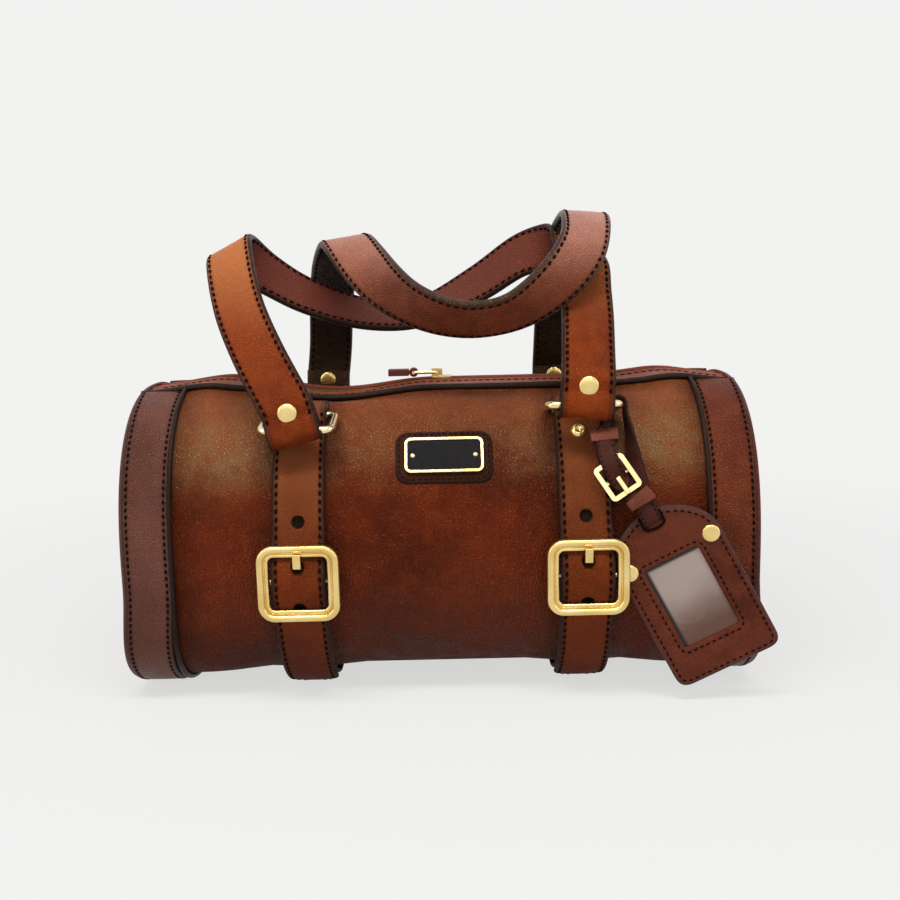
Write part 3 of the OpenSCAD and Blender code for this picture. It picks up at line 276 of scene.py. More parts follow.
def leather_strip(name, path, across, half, thick, groove=2.3 * MM, depth=0.22 * MM, crown=0.25 * MM,
                  holes=(), fine=27, margin=1.7 * MM, both=False, inner_ends=0.0):
    """A closed strip on a path. Section: height = thick/2 - r + sqrt(r^2 - e^2) at the edge, plus
    crown (1 - s^2), minus a bell-shaped groove at the stitch line and a dimple at each hole (along,
    across, radius). Its marks paint shade in the stitch grooves and in the holes. The last argument is
    how far from its ends the strip shows its inner colour, which on the back handle is painted shade."""
    rows = len(path)
    half = np.broadcast_to(half, rows)[:, None]
    thick = np.broadcast_to(thick, rows)[:, None]
    top, under = section_columns(fine), section_columns(13)[::-1]
    s = np.concatenate([top, under])[None]
    is_top = np.concatenate([np.ones(len(top)), np.zeros(len(under))])[None]
    x = s * half
    r = np.minimum(thick * 0.46, half * 0.5)
    e = np.clip(np.abs(x) - (half - r), 0, r)
    h = thick / 2 - r + np.sqrt(np.maximum(r * r - e * e, 0))
    from_edge = half - np.abs(x)
    wide = smoothstep(3 * MM, 8 * MM, half)
    bell = np.exp(-(((from_edge - groove) / (0.55 * MM)) ** 2)) * depth * wide
    lift_top = crown * (1 - s * s) * wide - bell
    lift_under = -bell if both else 0 * s
    y = np.where(is_top > 0.5, h + lift_top, -h - lift_under)
    dark = np.zeros_like(y)
    along_at = arc(path)[:, None]
    for where, side, radius in holes:
        far = np.hypot(along_at - where, x - side)
        inside = (1 - smoothstep(radius - 0.25 * MM, radius + 0.25 * MM, far)) * is_top
        lip = np.exp(-(((far - radius - 0.5 * MM) / (0.6 * MM)) ** 2)) * 0.12 * MM * is_top
        y = y - inside * thick * 0.75 - lip
        # Painted shade: the dark mark paints the bottom of each hole near black.
        dark = np.maximum(dark, (1 - smoothstep(radius - 0.1 * MM, radius + 0.55 * MM, far)) * is_top)
    _, across, out = frames(path, across)
    points = path[:, None] + across[:, None] * x[..., None] + out[:, None] * y[..., None]
    edge = np.maximum(smoothstep(-margin, -0.55 * margin, -from_edge), 0) + 0 * y
    sewn = np.maximum(is_top, float(both))
    # Painted shade along the stitch groove.
    seam = np.exp(-(((from_edge - groove) / (0.85 * MM)) ** 2)) * wide * sewn + 0 * y
    to_end = np.minimum(along_at, along_at[-1] - along_at)
    inner = np.maximum(1 - is_top, smoothstep(inner_ends + 0.5 * MM, inner_ends - 0.5 * MM, to_end))
    marks = {"edge": edge, "inner": inner + 0 * y, "dark": dark, "seam": seam}
    return closed_mesh(name, points, tube_faces(rows, s.shape[1]), marks)


# %% [markdown]
# ## Stitches
# Sewn thread shows as short dark dashes in a row. One dash is a small pod with a few dozen faces; a
# row repeats it at even steps along a line that runs just inside the strip's edge.

# %% Stitches
def pods(name, places, along, out, length=2.5 * MM, width=1.45 * MM, height=0.55 * MM):
    """A pod at each place: a runs from -1 to 1 along it, and its width and height shrink by sqrt(1 -
    |a|^2.6) to the ends."""
    a = np.linspace(-1, 1, 6)
    b = circle(6)
    full = np.sqrt(np.maximum(1 - np.abs(a) ** 2.6, 0.02))
    side = np.cross(out, along)
    lx = (a * length / 2)[None, :, None, None] * along[:, None, None]
    ly = (full[:, None] * np.cos(b) * width / 2)[None, :, :, None] * side[:, None, None]
    lz = (full[:, None] * np.sin(b) * height / 2)[None, :, :, None] * out[:, None, None]
    points = places[:, None, None] + lx + ly + lz
    one = np.array(tube_faces(6, 6, capped=False))
    faces = (one[None] + (np.arange(len(places)) * 36)[:, None, None]).reshape(-1, 4).tolist()
    caps = [[n * 36 + k for k in range(6)] for n in range(len(places))]
    caps += [[n * 36 + 30 + k for k in range(6)] for n in range(len(places))]
    return closed_mesh(name, points, faces + caps)


def even_steps(line, normal, pitch, start=0.0, end=0.0, slant=0.0):
    """Places at even steps along a line, with the line's direction, turned by slant about the normal."""
    d = arc(line)
    n = max(int((d[-1] - start - end) / pitch), 1)
    at = start + (np.arange(n) + 0.5) * (d[-1] - start - end) / n
    pick = lambda v: np.stack([np.interp(at, d, v[:, k]) for k in range(3)], -1)
    places, out = pick(line), unit(pick(normal))
    along = unit(pick(np.gradient(line, axis=0)))
    along = unit(along - (along * out).sum(-1, keepdims=True) * out)
    side = np.cross(out, along)
    return places, along * math.cos(slant) + side * math.sin(slant), out


def strip_rows(path, across, half, lift, inset=2.3 * MM, pitch=3.9 * MM, start=0.0, end=0.0, slant=0.14):
    """Two stitch lines on a strip, inset from both edges and lifted from its middle by lift."""
    half = np.broadcast_to(half, len(path))[:, None]
    _, wide, out = frames(path, across)
    sets = [even_steps(path + wide * side * (half - inset) + out * lift, out * np.sign(lift), pitch, start,
                       end, slant * side)
            for side in (-1, 1)]
    return [np.concatenate(group) for group in zip(*sets)]


# %% [markdown]
# ## The leather finishes
# Leather gets its depth from several things at once: broad shifts of colour where dye was rubbed in,
# small mottles, pebbled grain with darker valleys, and gloss that breaks up on the grain. Each is one
# noise of its own size, so a single flat colour never shows. Some light and shade is painted on top:
# a paler top where the light from above falls, an olive-grey painted highlight on the barrel's
# shoulder, painted shade towards the floor, and painted shade in holes, stitch grooves and beside the
# straps. The painted edge, the inner side and the holes come from the numbers stored on the points.

# %% Node helpers
def fresh(name):
    """A new material with its shader and tree."""
    mat = bpy.data.materials.new(name)
    mat.use_nodes = True
    return mat, mat.node_tree, mat.node_tree.nodes["Principled BSDF"]


def put(tree, kind, sockets=None, **settings):
    """Adds a node, sets its settings and fills its sockets with values or links."""
    made = tree.nodes.new("ShaderNode" + kind)
    for key, value in settings.items():
        setattr(made, key, value)
    for key, value in (sockets or {}).items():
        if isinstance(value, bpy.types.NodeSocket):
            tree.links.new(value, made.inputs[key])
        else:
            made.inputs[key].default_value = value
    return made


def blend_colour(tree, amount, a, b):
    """Mixes colours a and b by an amount."""
    wrap = lambda c: c if isinstance(c, bpy.types.NodeSocket) else (*c, 1.0)
    return put(tree, "Mix", {0: amount, 6: wrap(a), 7: wrap(b)}, data_type="RGBA").outputs[2]


def steer(tree, value, low, high, to_low=0.0, to_high=1.0):
    """Maps a value from one range to another, smoothly and clamped."""
    return put(tree, "MapRange", {"Value": value, "From Min": low, "From Max": high, "To Min": to_low,
                                  "To Max": to_high},
               interpolation_type="SMOOTHSTEP").outputs["Result"]


def reckon(tree, how, a, b=0.0):
    """One piece of arithmetic on two values."""
    return put(tree, "Math", {0: a, 1: b}, operation=how).outputs[0]


def times(tree, a, b):
    """The product of two values."""
    return reckon(tree, "MULTIPLY", a, b)


def plus(tree, a, b):
    """The sum of two values."""
    return reckon(tree, "ADD", a, b)


def noise(tree, where, scale, detail, roughness=0.5, out="Fac"):
    """Cloudy noise at a place; a larger scale makes smaller clouds."""
    sockets = {"Vector": where, "Scale": scale, "Detail": detail, "Roughness": roughness}
    return put(tree, "TexNoise", sockets).outputs[out]


def marked(tree, key):
    """A number stored on the points."""
    return put(tree, "Attribute", attribute_name=key).outputs["Fac"]


def linear(r, g, b):
    """Screen colour, 0 to 255, as the light values a shader takes."""
    return tuple(((v / 255 + 0.055) / 1.055) ** 2.4 if v > 10 else v / 255 / 12.92 for v in (r, g, b))


# %% Leather material
# EDGE is the painted edge colour; the next tone is painted top light, the next a painted highlight, and
# HOLE the painted shade in holes.
EDGE, LIT_TOP_TONE, HIGHLIGHT_TONE, HOLE = (38, 24, 22), (148, 82, 46), (124, 98, 64), (0.004, 0.003, 0.003)


def leather(name, deep, mid, warm, grain=1.05, bump=0.5, rough=0.40, inner=None, edge=EDGE, shine=0.16,
            mottle=0.45, light_and_shade=0.0, painted_top_light=None):
    """Leather from three tones: broad noise moves from deep to mid, small noise adds warm, pebbled
    cells darken and dent. One amount paints shade towards the floor, top light and, at full strength, a
    highlight on the shoulder; a pair of heights with a tone paints top light above them."""
    mat, tree, shader = fresh(name)
    deep, mid, warm = (linear(*tone) for tone in (deep, mid, warm))
    darker = lambda share: tuple(v * share for v in deep)
    where = put(tree, "TexCoord").outputs["Object"]
    broad = noise(tree, where, 16.0, 3.0, 0.55)
    small = noise(tree, where, 95.0, 4.0, 0.62)
    wobble = noise(tree, where, 420.0, 2.0, out="Color")
    shift = put(tree, "VectorMath", {0: wobble, "Scale": 0.0011 * grain}, operation="SCALE").outputs[0]
    bent = put(tree, "VectorMath", {0: where, 1: shift}, operation="ADD").outputs[0]
    cells = put(tree, "TexVoronoi", {"Vector": bent, "Scale": 780.0 / grain},
                feature="DISTANCE_TO_EDGE").outputs["Distance"]
    fine = noise(tree, where, 1050.0, 2.0)
    colour = blend_colour(tree, steer(tree, broad, 0.36, 0.64), deep, mid)
    colour = blend_colour(tree, times(tree, steer(tree, small, 0.42, 0.72), mottle), colour, warm)
    valley = steer(tree, cells, 0.0, 0.16, 1.0, 0.0)
    colour = blend_colour(tree, times(tree, valley, 0.30), colour, darker(0.45))
    specks = noise(tree, where, 620.0, 3.0)
    colour = blend_colour(tree, times(tree, steer(tree, specks, 0.62, 0.78), 0.25), colour, darker(0.5))
    if light_and_shade:
        # Painted light and shade by height: this amount sets the painted shade below, the painted top light
        # and the painted highlight.
        high = put(tree, "SeparateXYZ", {0: where}).outputs["Z"]
        low_part = steer(tree, high, 0.060, 0.004)
        # Painted shade: the colour darkens towards the floor; the same mask also makes the leather rougher
        # there.
        colour = blend_colour(tree, times(tree, low_part, 0.55 * light_and_shade), colour, darker(0.45))
        # Painted top light: a paler, warmer tone on the top of the barrel, starting lower towards the ends
        # and broken up by broad noise.
        length = reckon(tree, "ABSOLUTE", put(tree, "SeparateXYZ", {0: where}).outputs["X"])
        level = plus(tree, high, times(tree, steer(tree, length, 0.055, 0.100), 0.016))
        lit_top = times(tree, steer(tree, level, 0.104, 0.146), steer(tree, broad, 0.30, 0.60, 0.35, 1.0))
        colour = blend_colour(tree, times(tree, lit_top, 0.75 * light_and_shade), colour, linear(*LIT_TOP_TONE))
    if light_and_shade > 0.9:
        # Painted highlight: an olive-grey band on the panel's shoulder, weaker in the middle and broken up
        # by small noise.
        painted_highlight = times(tree, steer(tree, high, 0.098, 0.116), steer(tree, high, 0.140, 0.124))
        painted_highlight = times(tree, painted_highlight, steer(tree, length, 0.020, 0.105, 0.35, 1.0))
        painted_highlight = times(tree, painted_highlight, steer(tree, small, 0.34, 0.62, 0.25, 1.0))
        colour = blend_colour(tree, times(tree, painted_highlight, 0.62), colour, linear(*HIGHLIGHT_TONE))
    if painted_top_light:
        # Painted top light: above the given heights the colour turns to the given paler tone, broken up by
        # broad noise; on the back handle this is a painted highlight.
        high = put(tree, "SeparateXYZ", {0: where}).outputs["Z"]
        lit = times(tree, steer(tree, high, painted_top_light[0], painted_top_light[1]), steer(tree, broad, 0.25, 0.65, 0.45, 0.95))
        colour = blend_colour(tree, lit, colour, linear(*painted_top_light[2]))
    if inner:
        colour = blend_colour(tree, marked(tree, "inner"), colour, linear(*inner))
    # Painted shade: the seam mark darkens the stitch grooves, and on the panel it darkens the leather
    # beside the straps, bands and piping.
    colour = blend_colour(tree, times(tree, marked(tree, "seam"), 0.55), colour, darker(0.35))
    colour = blend_colour(tree, marked(tree, "edge"), colour, linear(*edge))
    # Painted shade: near black in the holes.
    colour = blend_colour(tree, marked(tree, "dark"), colour, HOLE)
    tree.links.new(colour, shader.inputs["Base Color"])
    dull = plus(tree, steer(tree, small, 0.3, 0.7, rough - 0.08, rough + 0.07), times(tree, valley, 0.12))
    if light_and_shade:
        dull = plus(tree, dull, times(tree, low_part, 0.38))
    tree.links.new(dull, shader.inputs["Roughness"])
    shader.inputs["Specular IOR Level"].default_value = shine
    shader.inputs["Specular Tint"].default_value = (1.0, 0.55, 0.30, 1.0)
    pebbles = times(tree, steer(tree, cells, 0.0, 0.22), 0.7)
    height = plus(tree, pebbles, plus(tree, times(tree, fine, 0.6), times(tree, small, 0.9)))
    dent = put(tree, "Bump", {"Strength": bump, "Distance": 0.00062, "Height": height})
    tree.links.new(dent.outputs["Normal"], shader.inputs["Normal"])
    return mat


# In these finishes the heights with a paler tone, and the amount given to the panel and the strap, paint
# light and shade.
FINISH = {
    "panel": leather("panel_leather", (72, 18, 5), (98, 32, 9), (122, 48, 15), grain=1.15, bump=1.0,
                     rough=0.31, light_and_shade=1.0, shine=0.2),
    "band_left": leather("left_band_leather", (84, 48, 42), (106, 66, 58), (112, 68, 48), bump=0.75,
                         rough=0.36, edge=(46, 32, 30), shine=0.2),
    "band_right": leather("right_band_leather", (90, 36, 22), (116, 54, 32), (130, 64, 38), bump=0.85,
                          rough=0.34, edge=(46, 30, 27), shine=0.2),
    "end": leather("end_leather", (118, 66, 60), (136, 80, 72), (140, 84, 70), bump=0.3, rough=0.5),
    "gusset": leather("top_leather", (104, 50, 38), (134, 68, 50), (142, 76, 56), bump=0.4),
    "strap": leather("strap_leather", (78, 26, 6), (110, 42, 11), (130, 56, 18), grain=0.95, bump=0.6,
                     rough=0.34, inner=(44, 20, 15), light_and_shade=0.6, painted_top_light=(0.060, 0.115, (122, 66, 36))),
    "handle": leather("handle_leather", (98, 32, 6), (122, 46, 10), (140, 62, 18), grain=0.95, bump=0.5,
                      rough=0.34, inner=(100, 48, 38), painted_top_light=(0.165, 0.222, (176, 104, 58))),
    # The back handle's near-black inner colour is painted shade on its inner face.
    "back_handle": leather("back_handle_leather", (88, 38, 24), (116, 54, 34), (134, 70, 48), grain=1.0,
                           bump=0.55, rough=0.32, inner=(10, 5, 5), shine=0.36,
                           painted_top_light=(0.190, 0.226, (176, 118, 100))),
    "dark": leather("dark_leather", (40, 18, 13), (52, 25, 18), (60, 30, 21), bump=0.35, rough=0.45,
                    shine=0.1),
    "tag": leather("tag_leather", (74, 30, 20), (98, 46, 33), (120, 60, 38), grain=0.9, bump=0.55,
                   rough=0.36, edge=(72, 52, 52)),
    "keeper": leather("keeper_leather", (94, 48, 38), (120, 66, 52), (128, 72, 56), grain=0.8, bump=0.3,
                      rough=0.42),
    "tag_strap": leather("tag_strap_leather", (56, 25, 24), (78, 38, 34), (90, 48, 40), grain=0.8,
                         bump=0.35, rough=0.38, edge=(28, 17, 17)),
    "piping": leather("piping_leather", (20, 15, 16), (30, 23, 24), (38, 29, 28), grain=0.7, bump=0.25,
                      rough=0.38),
    "lining": leather("lining_cloth", (40, 28, 24), (52, 36, 30), (58, 40, 32), grain=0.5, bump=0.3,
                      rough=0.8, shine=0.2),
}
print("leathers:", len(FINISH))

# %% [markdown]
# ## Metal, enamel, thread and window
# Satin brass is a metal with a rough, slightly streaked face; the small buckle and rings are paler and
# more polished. Thread and enamel are plain dielectrics with little gloss, so neither glares.

# %% Metal and other finishes
def metal(name, colour, dusk, rough, scratch=0.03):
    """Metal whose tone and roughness drift with noise, with faint streaks for a bump."""
    mat, tree, shader = fresh(name)
    where = put(tree, "TexCoord").outputs["Object"]
    drift = noise(tree, where, 70.0, 3.0)
    stretched = put(tree, "Mapping", {"Vector": where, "Scale": (260.0, 1400.0, 1400.0)}).outputs[0]
    streak = noise(tree, stretched, 1.0, 3.0)
    tree.links.new(blend_colour(tree, steer(tree, drift, 0.35, 0.7), dusk, colour),
                   shader.inputs["Base Color"])
    tree.links.new(steer(tree, streak, 0.3, 0.7, rough - 0.03, rough + 0.04), shader.inputs["Roughness"])
    shader.inputs["Metallic"].default_value = 1.0
    dent = put(tree, "Bump", {"Strength": scratch, "Distance": 0.00004, "Height": streak})
    tree.links.new(dent.outputs["Normal"], shader.inputs["Normal"])
    return mat


def plain(name, colour, other, rough, scale=600.0, shine=0.1, bump=0.2):
    """A dull or glossy solid whose two tones are mixed by fine noise."""
    mat, tree, shader = fresh(name)
    where = put(tree, "TexCoord").outputs["Object"]
    cloud = noise(tree, where, scale, 3.0)
    tree.links.new(blend_colour(tree, steer(tree, cloud, 0.35, 0.65), colour, other),
                   shader.inputs["Base Color"])
    tree.links.new(steer(tree, cloud, 0.3, 0.7, rough, rough + 0.08), shader.inputs["Roughness"])
    shader.inputs["Specular IOR Level"].default_value = shine
    dent = put(tree, "Bump", {"Strength": bump, "Distance": 0.00005, "Height": cloud})
    tree.links.new(dent.outputs["Normal"], shader.inputs["Normal"])
    return mat


FINISH["brass"] = metal("satin_brass", (0.88, 0.67, 0.29), (0.74, 0.52, 0.18), 0.27)
FINISH["pale_brass"] = metal("pale_brass", (0.92, 0.75, 0.46), (0.78, 0.58, 0.28), 0.20)
FINISH["old_brass"] = metal("zip_brass", (0.74, 0.55, 0.24), (0.52, 0.36, 0.14), 0.34)
FINISH["thread"] = plain("thread", linear(24, 13, 11), linear(12, 7, 7), 0.8, 2600.0, shine=0.04)
FINISH["tape"] = plain("zip_tape", linear(58, 36, 28), linear(42, 26, 22), 0.85, 1800.0)
FINISH["enamel"] = plain("enamel", linear(18, 16, 17), linear(26, 23, 23), 0.42, 300.0, shine=0.05,
                         bump=0.05)


def clad(piece, finish, body, *nodes, slot=None):
    """Gives a piece its material and its body, and hides the CAD nodes it stands for."""
    piece.data.materials.clear()
    piece.data.materials.append(FINISH[finish])
    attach(piece, body)
    if nodes:
        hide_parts(*nodes)
    return piece


def sew(name, rows, body="bag", **size):
    """Rows of stitches as one piece of thread: rows are places, directions and normals."""
    return clad(pods(name, *rows, **size), "thread", body, slot="dark_leather")


# %% [markdown]
# ## The front panel
# One hide wraps the whole barrel from piping to piping. It is pressed in under the straps and the
# bands and stands a hair proud between them, which is what makes stretched leather look soft. The
# panel is a grid of angle by length, given an inside by moving a second grid inward.

# %% Front panel and lining
def shell_between(outer, inner):
    """A closed slab from two grids of the same size: outer faces, inner faces and a rim."""
    n, m = outer.shape[:2]
    points = np.concatenate([outer.reshape(-1, 3), inner.reshape(-1, 3)])
    i, j = np.meshgrid(np.arange(n - 1), np.arange(m - 1), indexing="ij")
    a = (i * m + j).reshape(-1)
    quads = np.stack([a, a + 1, a + m + 1, a + m], -1)
    back = quads[:, ::-1] + n * m
    rim = np.concatenate([np.arange(m - 1), np.arange(n - 1) * m + m - 1,
                          (n - 1) * m + np.arange(m - 1, 0, -1), np.arange(n - 1, 0, -1) * m])
    nxt = np.roll(rim, -1)
    side = np.stack([rim, rim + n * m, nxt + n * m, nxt], -1)
    return points, np.concatenate([quads, back, side]).tolist()


def on_barrel(x, angle, out):
    """Points on the barrel from length, angle and height above the leather, as one array."""
    x, angle, out = np.broadcast_arrays(x, angle, out)
    yz = barrel(angle, 0.0, x) + outward(angle, x) * out[..., None]
    return np.stack([x + np.sign(x) * flare(yz[..., 1]) * smoothstep(0.112, 0.140, np.abs(x)), yz[..., 0],
                     yz[..., 1] - dip(x, angle)], -1)


PIPE_Y = 25 * MM
END_AT = {-1: 147 * MM, 1: 144.8 * MM}
panel_x = np.linspace(-0.1445, 0.1425, 205)[None]
pipe_a = angle_of(PIPE_Y, panel_x)
panel_a = pipe_a + 0.6 + (360 - 2 * pipe_a - 1.2) * np.linspace(0, 1, 236)[:, None]
from_strap = np.abs(np.abs(panel_x) - STRAP_X)
free = smoothstep(0.1235, 0.115, np.abs(panel_x)) * smoothstep(0.0, 0.011, from_strap - 0.0125)
waves = (0.5 * np.sin(panel_x * 61 + 1.3) * np.sin(np.radians(panel_a) * 3.1 + 0.4)
         + 0.35 * np.sin(panel_x * 143 + panel_a * 0.045) + 0.25 * np.sin(panel_a * 0.11 - panel_x * 37))
standing = smoothstep(168, 130, panel_a) + smoothstep(192, 230, panel_a)
pillow = free * (0.30 + 0.28 * waves) * MM * standing
outer = on_barrel(panel_x + 0 * panel_a, panel_a, pillow)
inner = on_barrel(panel_x + 0 * panel_a, panel_a, -PANEL_T + 0 * pillow)
points, faces = shell_between(outer, inner)
# Painted shade on the panel beside the straps, the bands and the piping, stored in its seam mark.
by_strap = smoothstep(0.013, 0, from_strap - STRAP_HALF)
by_band = smoothstep(0.016, 0, END_AT[1] - 2 * BAND_HALF - np.abs(panel_x))
by_pipe = smoothstep(9, 0, np.minimum(panel_a, 360 - panel_a) - pipe_a)
contact_shade = (0.8 * np.maximum(np.maximum(by_strap, by_band), 0.7 * by_pipe)).reshape(-1)
clad(closed_mesh("front_panel", points, faces, {"seam": np.concatenate([contact_shade, contact_shade])}), "panel", "bag",
     "body_panel", slot="panel_leather")
lining_a = np.linspace(20, 340, 120)[:, None]
lining_x = np.linspace(-0.1433, 0.1433, 30)[None]
points, faces = shell_between(on_barrel(lining_x, lining_a, -2.6 * MM),
                              on_barrel(lining_x, lining_a, -3.4 * MM))
clad(closed_mesh("lining_cloth", points, faces), "lining", "bag", "lining", slot="lining_fabric")
print("panel points", outer.shape, "pillow up to", round(float(pillow.max()) * 1000, 2), "mm")

# %% [markdown]
# ## End panels, welts and bands
# Each end is a stuffed disc: nearly flat with a swelling in the middle. Rings of the outline shrink
# towards the middle while they rise, as a quarter of an ellipse does. A welt is a cord in a thin
# skin, so it is a round section carried round the outline.

# %% Ends, welts and bands
ring_a = np.linspace(0, 360, 241)[:-1]


def end_disc(side):
    """Rings of the outline: scale cos(u), rise 5 mm times sin(u), with shallow dents that fade at the
    rim."""
    u = np.linspace(0, 90, 15)[:-1]
    rim = on_barrel(END_AT[side], ring_a, -1.7 * MM)
    middle = np.array([END_AT[side], 0, WAIST])
    rings = middle + (rim - middle)[None] * np.cos(np.radians(u))[:, None, None]
    a = np.radians(ring_a)[None]
    fade = np.sin(np.radians(u * 2))[:, None]
    dents = (0.35 * np.sin(3 * a + 1) + 0.25 * np.sin(5 * a + 2.2)) * fade * MM
    ripple = 0.35 * MM * (1 - np.cos(np.radians(u * 4)))[:, None]
    rings[..., 0] += 5 * MM * np.sin(np.radians(u))[:, None] - ripple + dents
    back = rim - np.array([2.4 * MM, 0, 0])
    points = np.concatenate([back, rings.reshape(-1, 3), [[END_AT[side] + 5 * MM, 0, WAIST]]])
    faces = tube_faces(15, 240, capped=False)
    tip = len(points) - 1
    faces += [[14 * 240 + k, 14 * 240 + (k + 1) % 240, tip] for k in range(240)]
    faces.append(list(range(240))[::-1])
    points[:, 0] *= side
    return points, faces


for side, word in ((-1, "left"), (1, "right")):
    points, faces = end_disc(side)
    clad(closed_mesh(word + "_end_disc", points, faces), "end", "bag", word + "_end_panel",
         slot="end_leather")
    b = circle(14)
    height = 0.1 * MM + 1.4 * MM * np.sin(b)
    reach = 1.5 * MM * np.cos(b)
    welt = on_barrel(END_AT[side], ring_a[:, None], height[None])
    welt[..., 0] += np.maximum(reach, -0.6 * MM)[None]
    welt[..., 0] *= side
    clad(closed_mesh(word + "_welt_cord", welt, tube_faces(240, 14, closed=True)), "band_" + word, "bag",
         word + "_end_welt", slot="edge_leather")
    start = angle_of(PIPE_Y, END_AT[side] - BAND_HALF) + 1.6
    band_a = np.linspace(start, 360 - start, 300)
    middle = on_barrel(side * (END_AT[side] - BAND_HALF), band_a, BAND_T / 2)
    wide = np.tile([1.0, 0, 0], (300, 1))
    bead_a = np.linspace(start, 360 - start - 8, 300)
    bead = on_barrel(side * (END_AT[side] - 2 * BAND_HALF) + side * 1.15 * MM * np.cos(b)[None],
                     bead_a[:, None], 1.35 * MM + 1.15 * MM * np.sin(b)[None])
    clad(closed_mesh(word + "_band_bead", bead, tube_faces(300, 14)), "piping", "bag", slot="edge_leather")
    strip = leather_strip(word + "_band", middle, wide, BAND_HALF, BAND_T, groove=2.4 * MM, crown=0.25 * MM,
                          fine=31)
    clad(strip, "band_" + word, "bag", word + "_end_band", slot="band_leather")
    sew(word + "_band_stitches", strip_rows(middle, wide, BAND_HALF, BAND_T / 2 + 0.05 * MM, inset=2.4 * MM,
                                            pitch=3.2 * MM), length=2.1 * MM, width=1.3 * MM)

# %% [markdown]
# ## Piping and the top
# A black cord of piping runs along both edges of the top. Between the pipings two strips of leather
# meet the zip, and the left stretch of the zip stands open in a lens. The strips' inner edges follow
# that lens: half its width is a sine to the power 1.4.

# %% Piping, top strips and zip tapes
SLIDER_X, SLIDER_HALF, CLEAR = 1 * MM, 5 * MM, 1.6 * MM
LENS_LONG, LENS_WIDE, LENS_POWER = 110 * MM, 7 * MM, 1.4
LENS_END = SLIDER_X - SLIDER_HALF - CLEAR
LENS_START = LENS_END - LENS_LONG
ZIP_DROP = 2.2 * MM


def lens_half(x):
    """Half width of the zip's opening at x."""
    t = np.clip((x - LENS_START) / (LENS_END - LENS_START), 0, 1)
    return LENS_WIDE * np.sin(np.pi * t) ** LENS_POWER


def front_of_top(x, y, out):
    """Points of the top at a distance y in front of the middle, lifted by out."""
    return on_barrel(x, angle_of(y, x), out)


def slack(x, y):
    """How far the strips beside the zip hang below the pipings: 1.6 mm (1 - (y / 25 mm)^2) along the
    middle of the bag."""
    return SLACK * (1 - np.minimum(y / PIPE_Y, 1) ** 2) * middle_part(x)


def zip_hang(x, y):
    """How far tape and teeth hang in all: dip plus slack, and nowhere less than the slider, which runs
    level along them."""
    return np.maximum(dip(x, 0.0) + slack(x, y), ZIP_DROP)


def slab(name, top, low, face, finish, node, slot):
    """A slab from its upper and lower grids; face is -1 to mirror it to the back."""
    for grid in (top, low):
        grid[..., 1] *= face
    clad(closed_mesh(name, *shell_between(top, low)), finish, "bag", node, slot=slot)


for face, word in ((1, "front"), (-1, "back")):
    x = np.linspace(-END_AT[-1], END_AT[1], 140)[:, None]
    b = circle(14)
    high_up, thick = (1.25 * MM, 1.75 * MM) if face > 0 else (0.2 * MM, 1.5 * MM)
    round_it = np.stack([0 * b, thick * np.cos(b), thick * np.sin(b)], -1)
    cord = on_barrel(x, angle_of(PIPE_Y, x), high_up) + round_it[None]
    cord[..., 1] *= face
    clad(closed_mesh(word + "_piping_cord", cord, tube_faces(140, 14)), "piping", "bag", word + "_piping",
         slot="edge_leather")
    gx = np.linspace(-END_AT[-1] + 0.4 * MM, END_AT[1] - 0.4 * MM, 180)[:, None]
    s = np.array([0, 0.02, 0.06, 0.12, 0.2, 0.3, 0.45, 0.6, 0.8, 1.0])[None]
    near = lens_half(gx) + 6.5 * MM
    y = near + (23.6 * MM - near) * s
    fold, dent = np.exp(-(((s * 17 - 1.2) / 1.6) ** 2)), np.exp(-(((s * 17 - 3.6) / 0.8) ** 2))
    roll = 0.9 * MM * fold - 0.35 * MM * dent
    top = front_of_top(gx, y, 0.3 * MM + roll * 0.8 - 0.5 * MM * (1 - (y / PIPE_Y) ** 2) - slack(gx, y))
    low = front_of_top(gx, y, -2.4 * MM - slack(gx, y))
    slab(word + "_top_strip", top, low, face, "gusset", word + "_gusset", "gusset_leather")
    tape_x = np.linspace(-0.128, 0.128, 160)[:, None]
    near = lens_half(tape_x) + 2.4 * MM
    y = near + (17 * MM - near) * np.linspace(0, 1, 5)[None]
    top, low = (front_of_top(tape_x, y, lift + dip(tape_x, 0.0) - zip_hang(tape_x, y))
                for lift in (-2.5 * MM, -3.1 * MM))
    slab(word + "_tape", top, low, face, "tape", word + "_zip_tape", "tape_fabric")
    row = bpy.data.objects.new(word + "_teeth_row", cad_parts[word + "_zip_teeth"].data.copy())
    bpy.context.scene.collection.objects.link(row)
    co = np.empty(len(row.data.vertices) * 3)
    row.data.vertices.foreach_get("co", co)
    co = co.reshape(-1, 3)
    co[:, 2] -= zip_hang(co[:, 0], 0.0)
    row.data.vertices.foreach_set("co", co.reshape(-1))
    row.data.update()
    clad(row, "old_brass", "bag", word + "_zip_teeth", slot="satin_brass")
    seam_x = np.linspace(-0.141, 0.141, 200)
    seam_y = lens_half(seam_x) + 9.6 * MM
    seam = front_of_top(seam_x, seam_y, -0.05 * MM - slack(seam_x, seam_y))
    up_there = np.tile([0, 0, 1.0], (200, 1))
    seam[:, 1] *= face
    sew(word + "_top_stitches", even_steps(seam, up_there, 3.6 * MM), width=0.9 * MM)

for side, word in ((-1, "left"), (1, "right")):
    x = np.linspace(0.128, END_AT[side] - 0.4 * MM, 24)[:, None] * side
    y = np.linspace(-6.4, 6.4, 16)[None] * MM
    top, low = front_of_top(x, y, -0.2 * MM + 0 * x * y), front_of_top(x, y, -2.4 * MM + 0 * x * y)
    slab(word + "_zip_patch", top, low, 1, "gusset", word + "_zip_end", "gusset_leather")
print("top strips made")

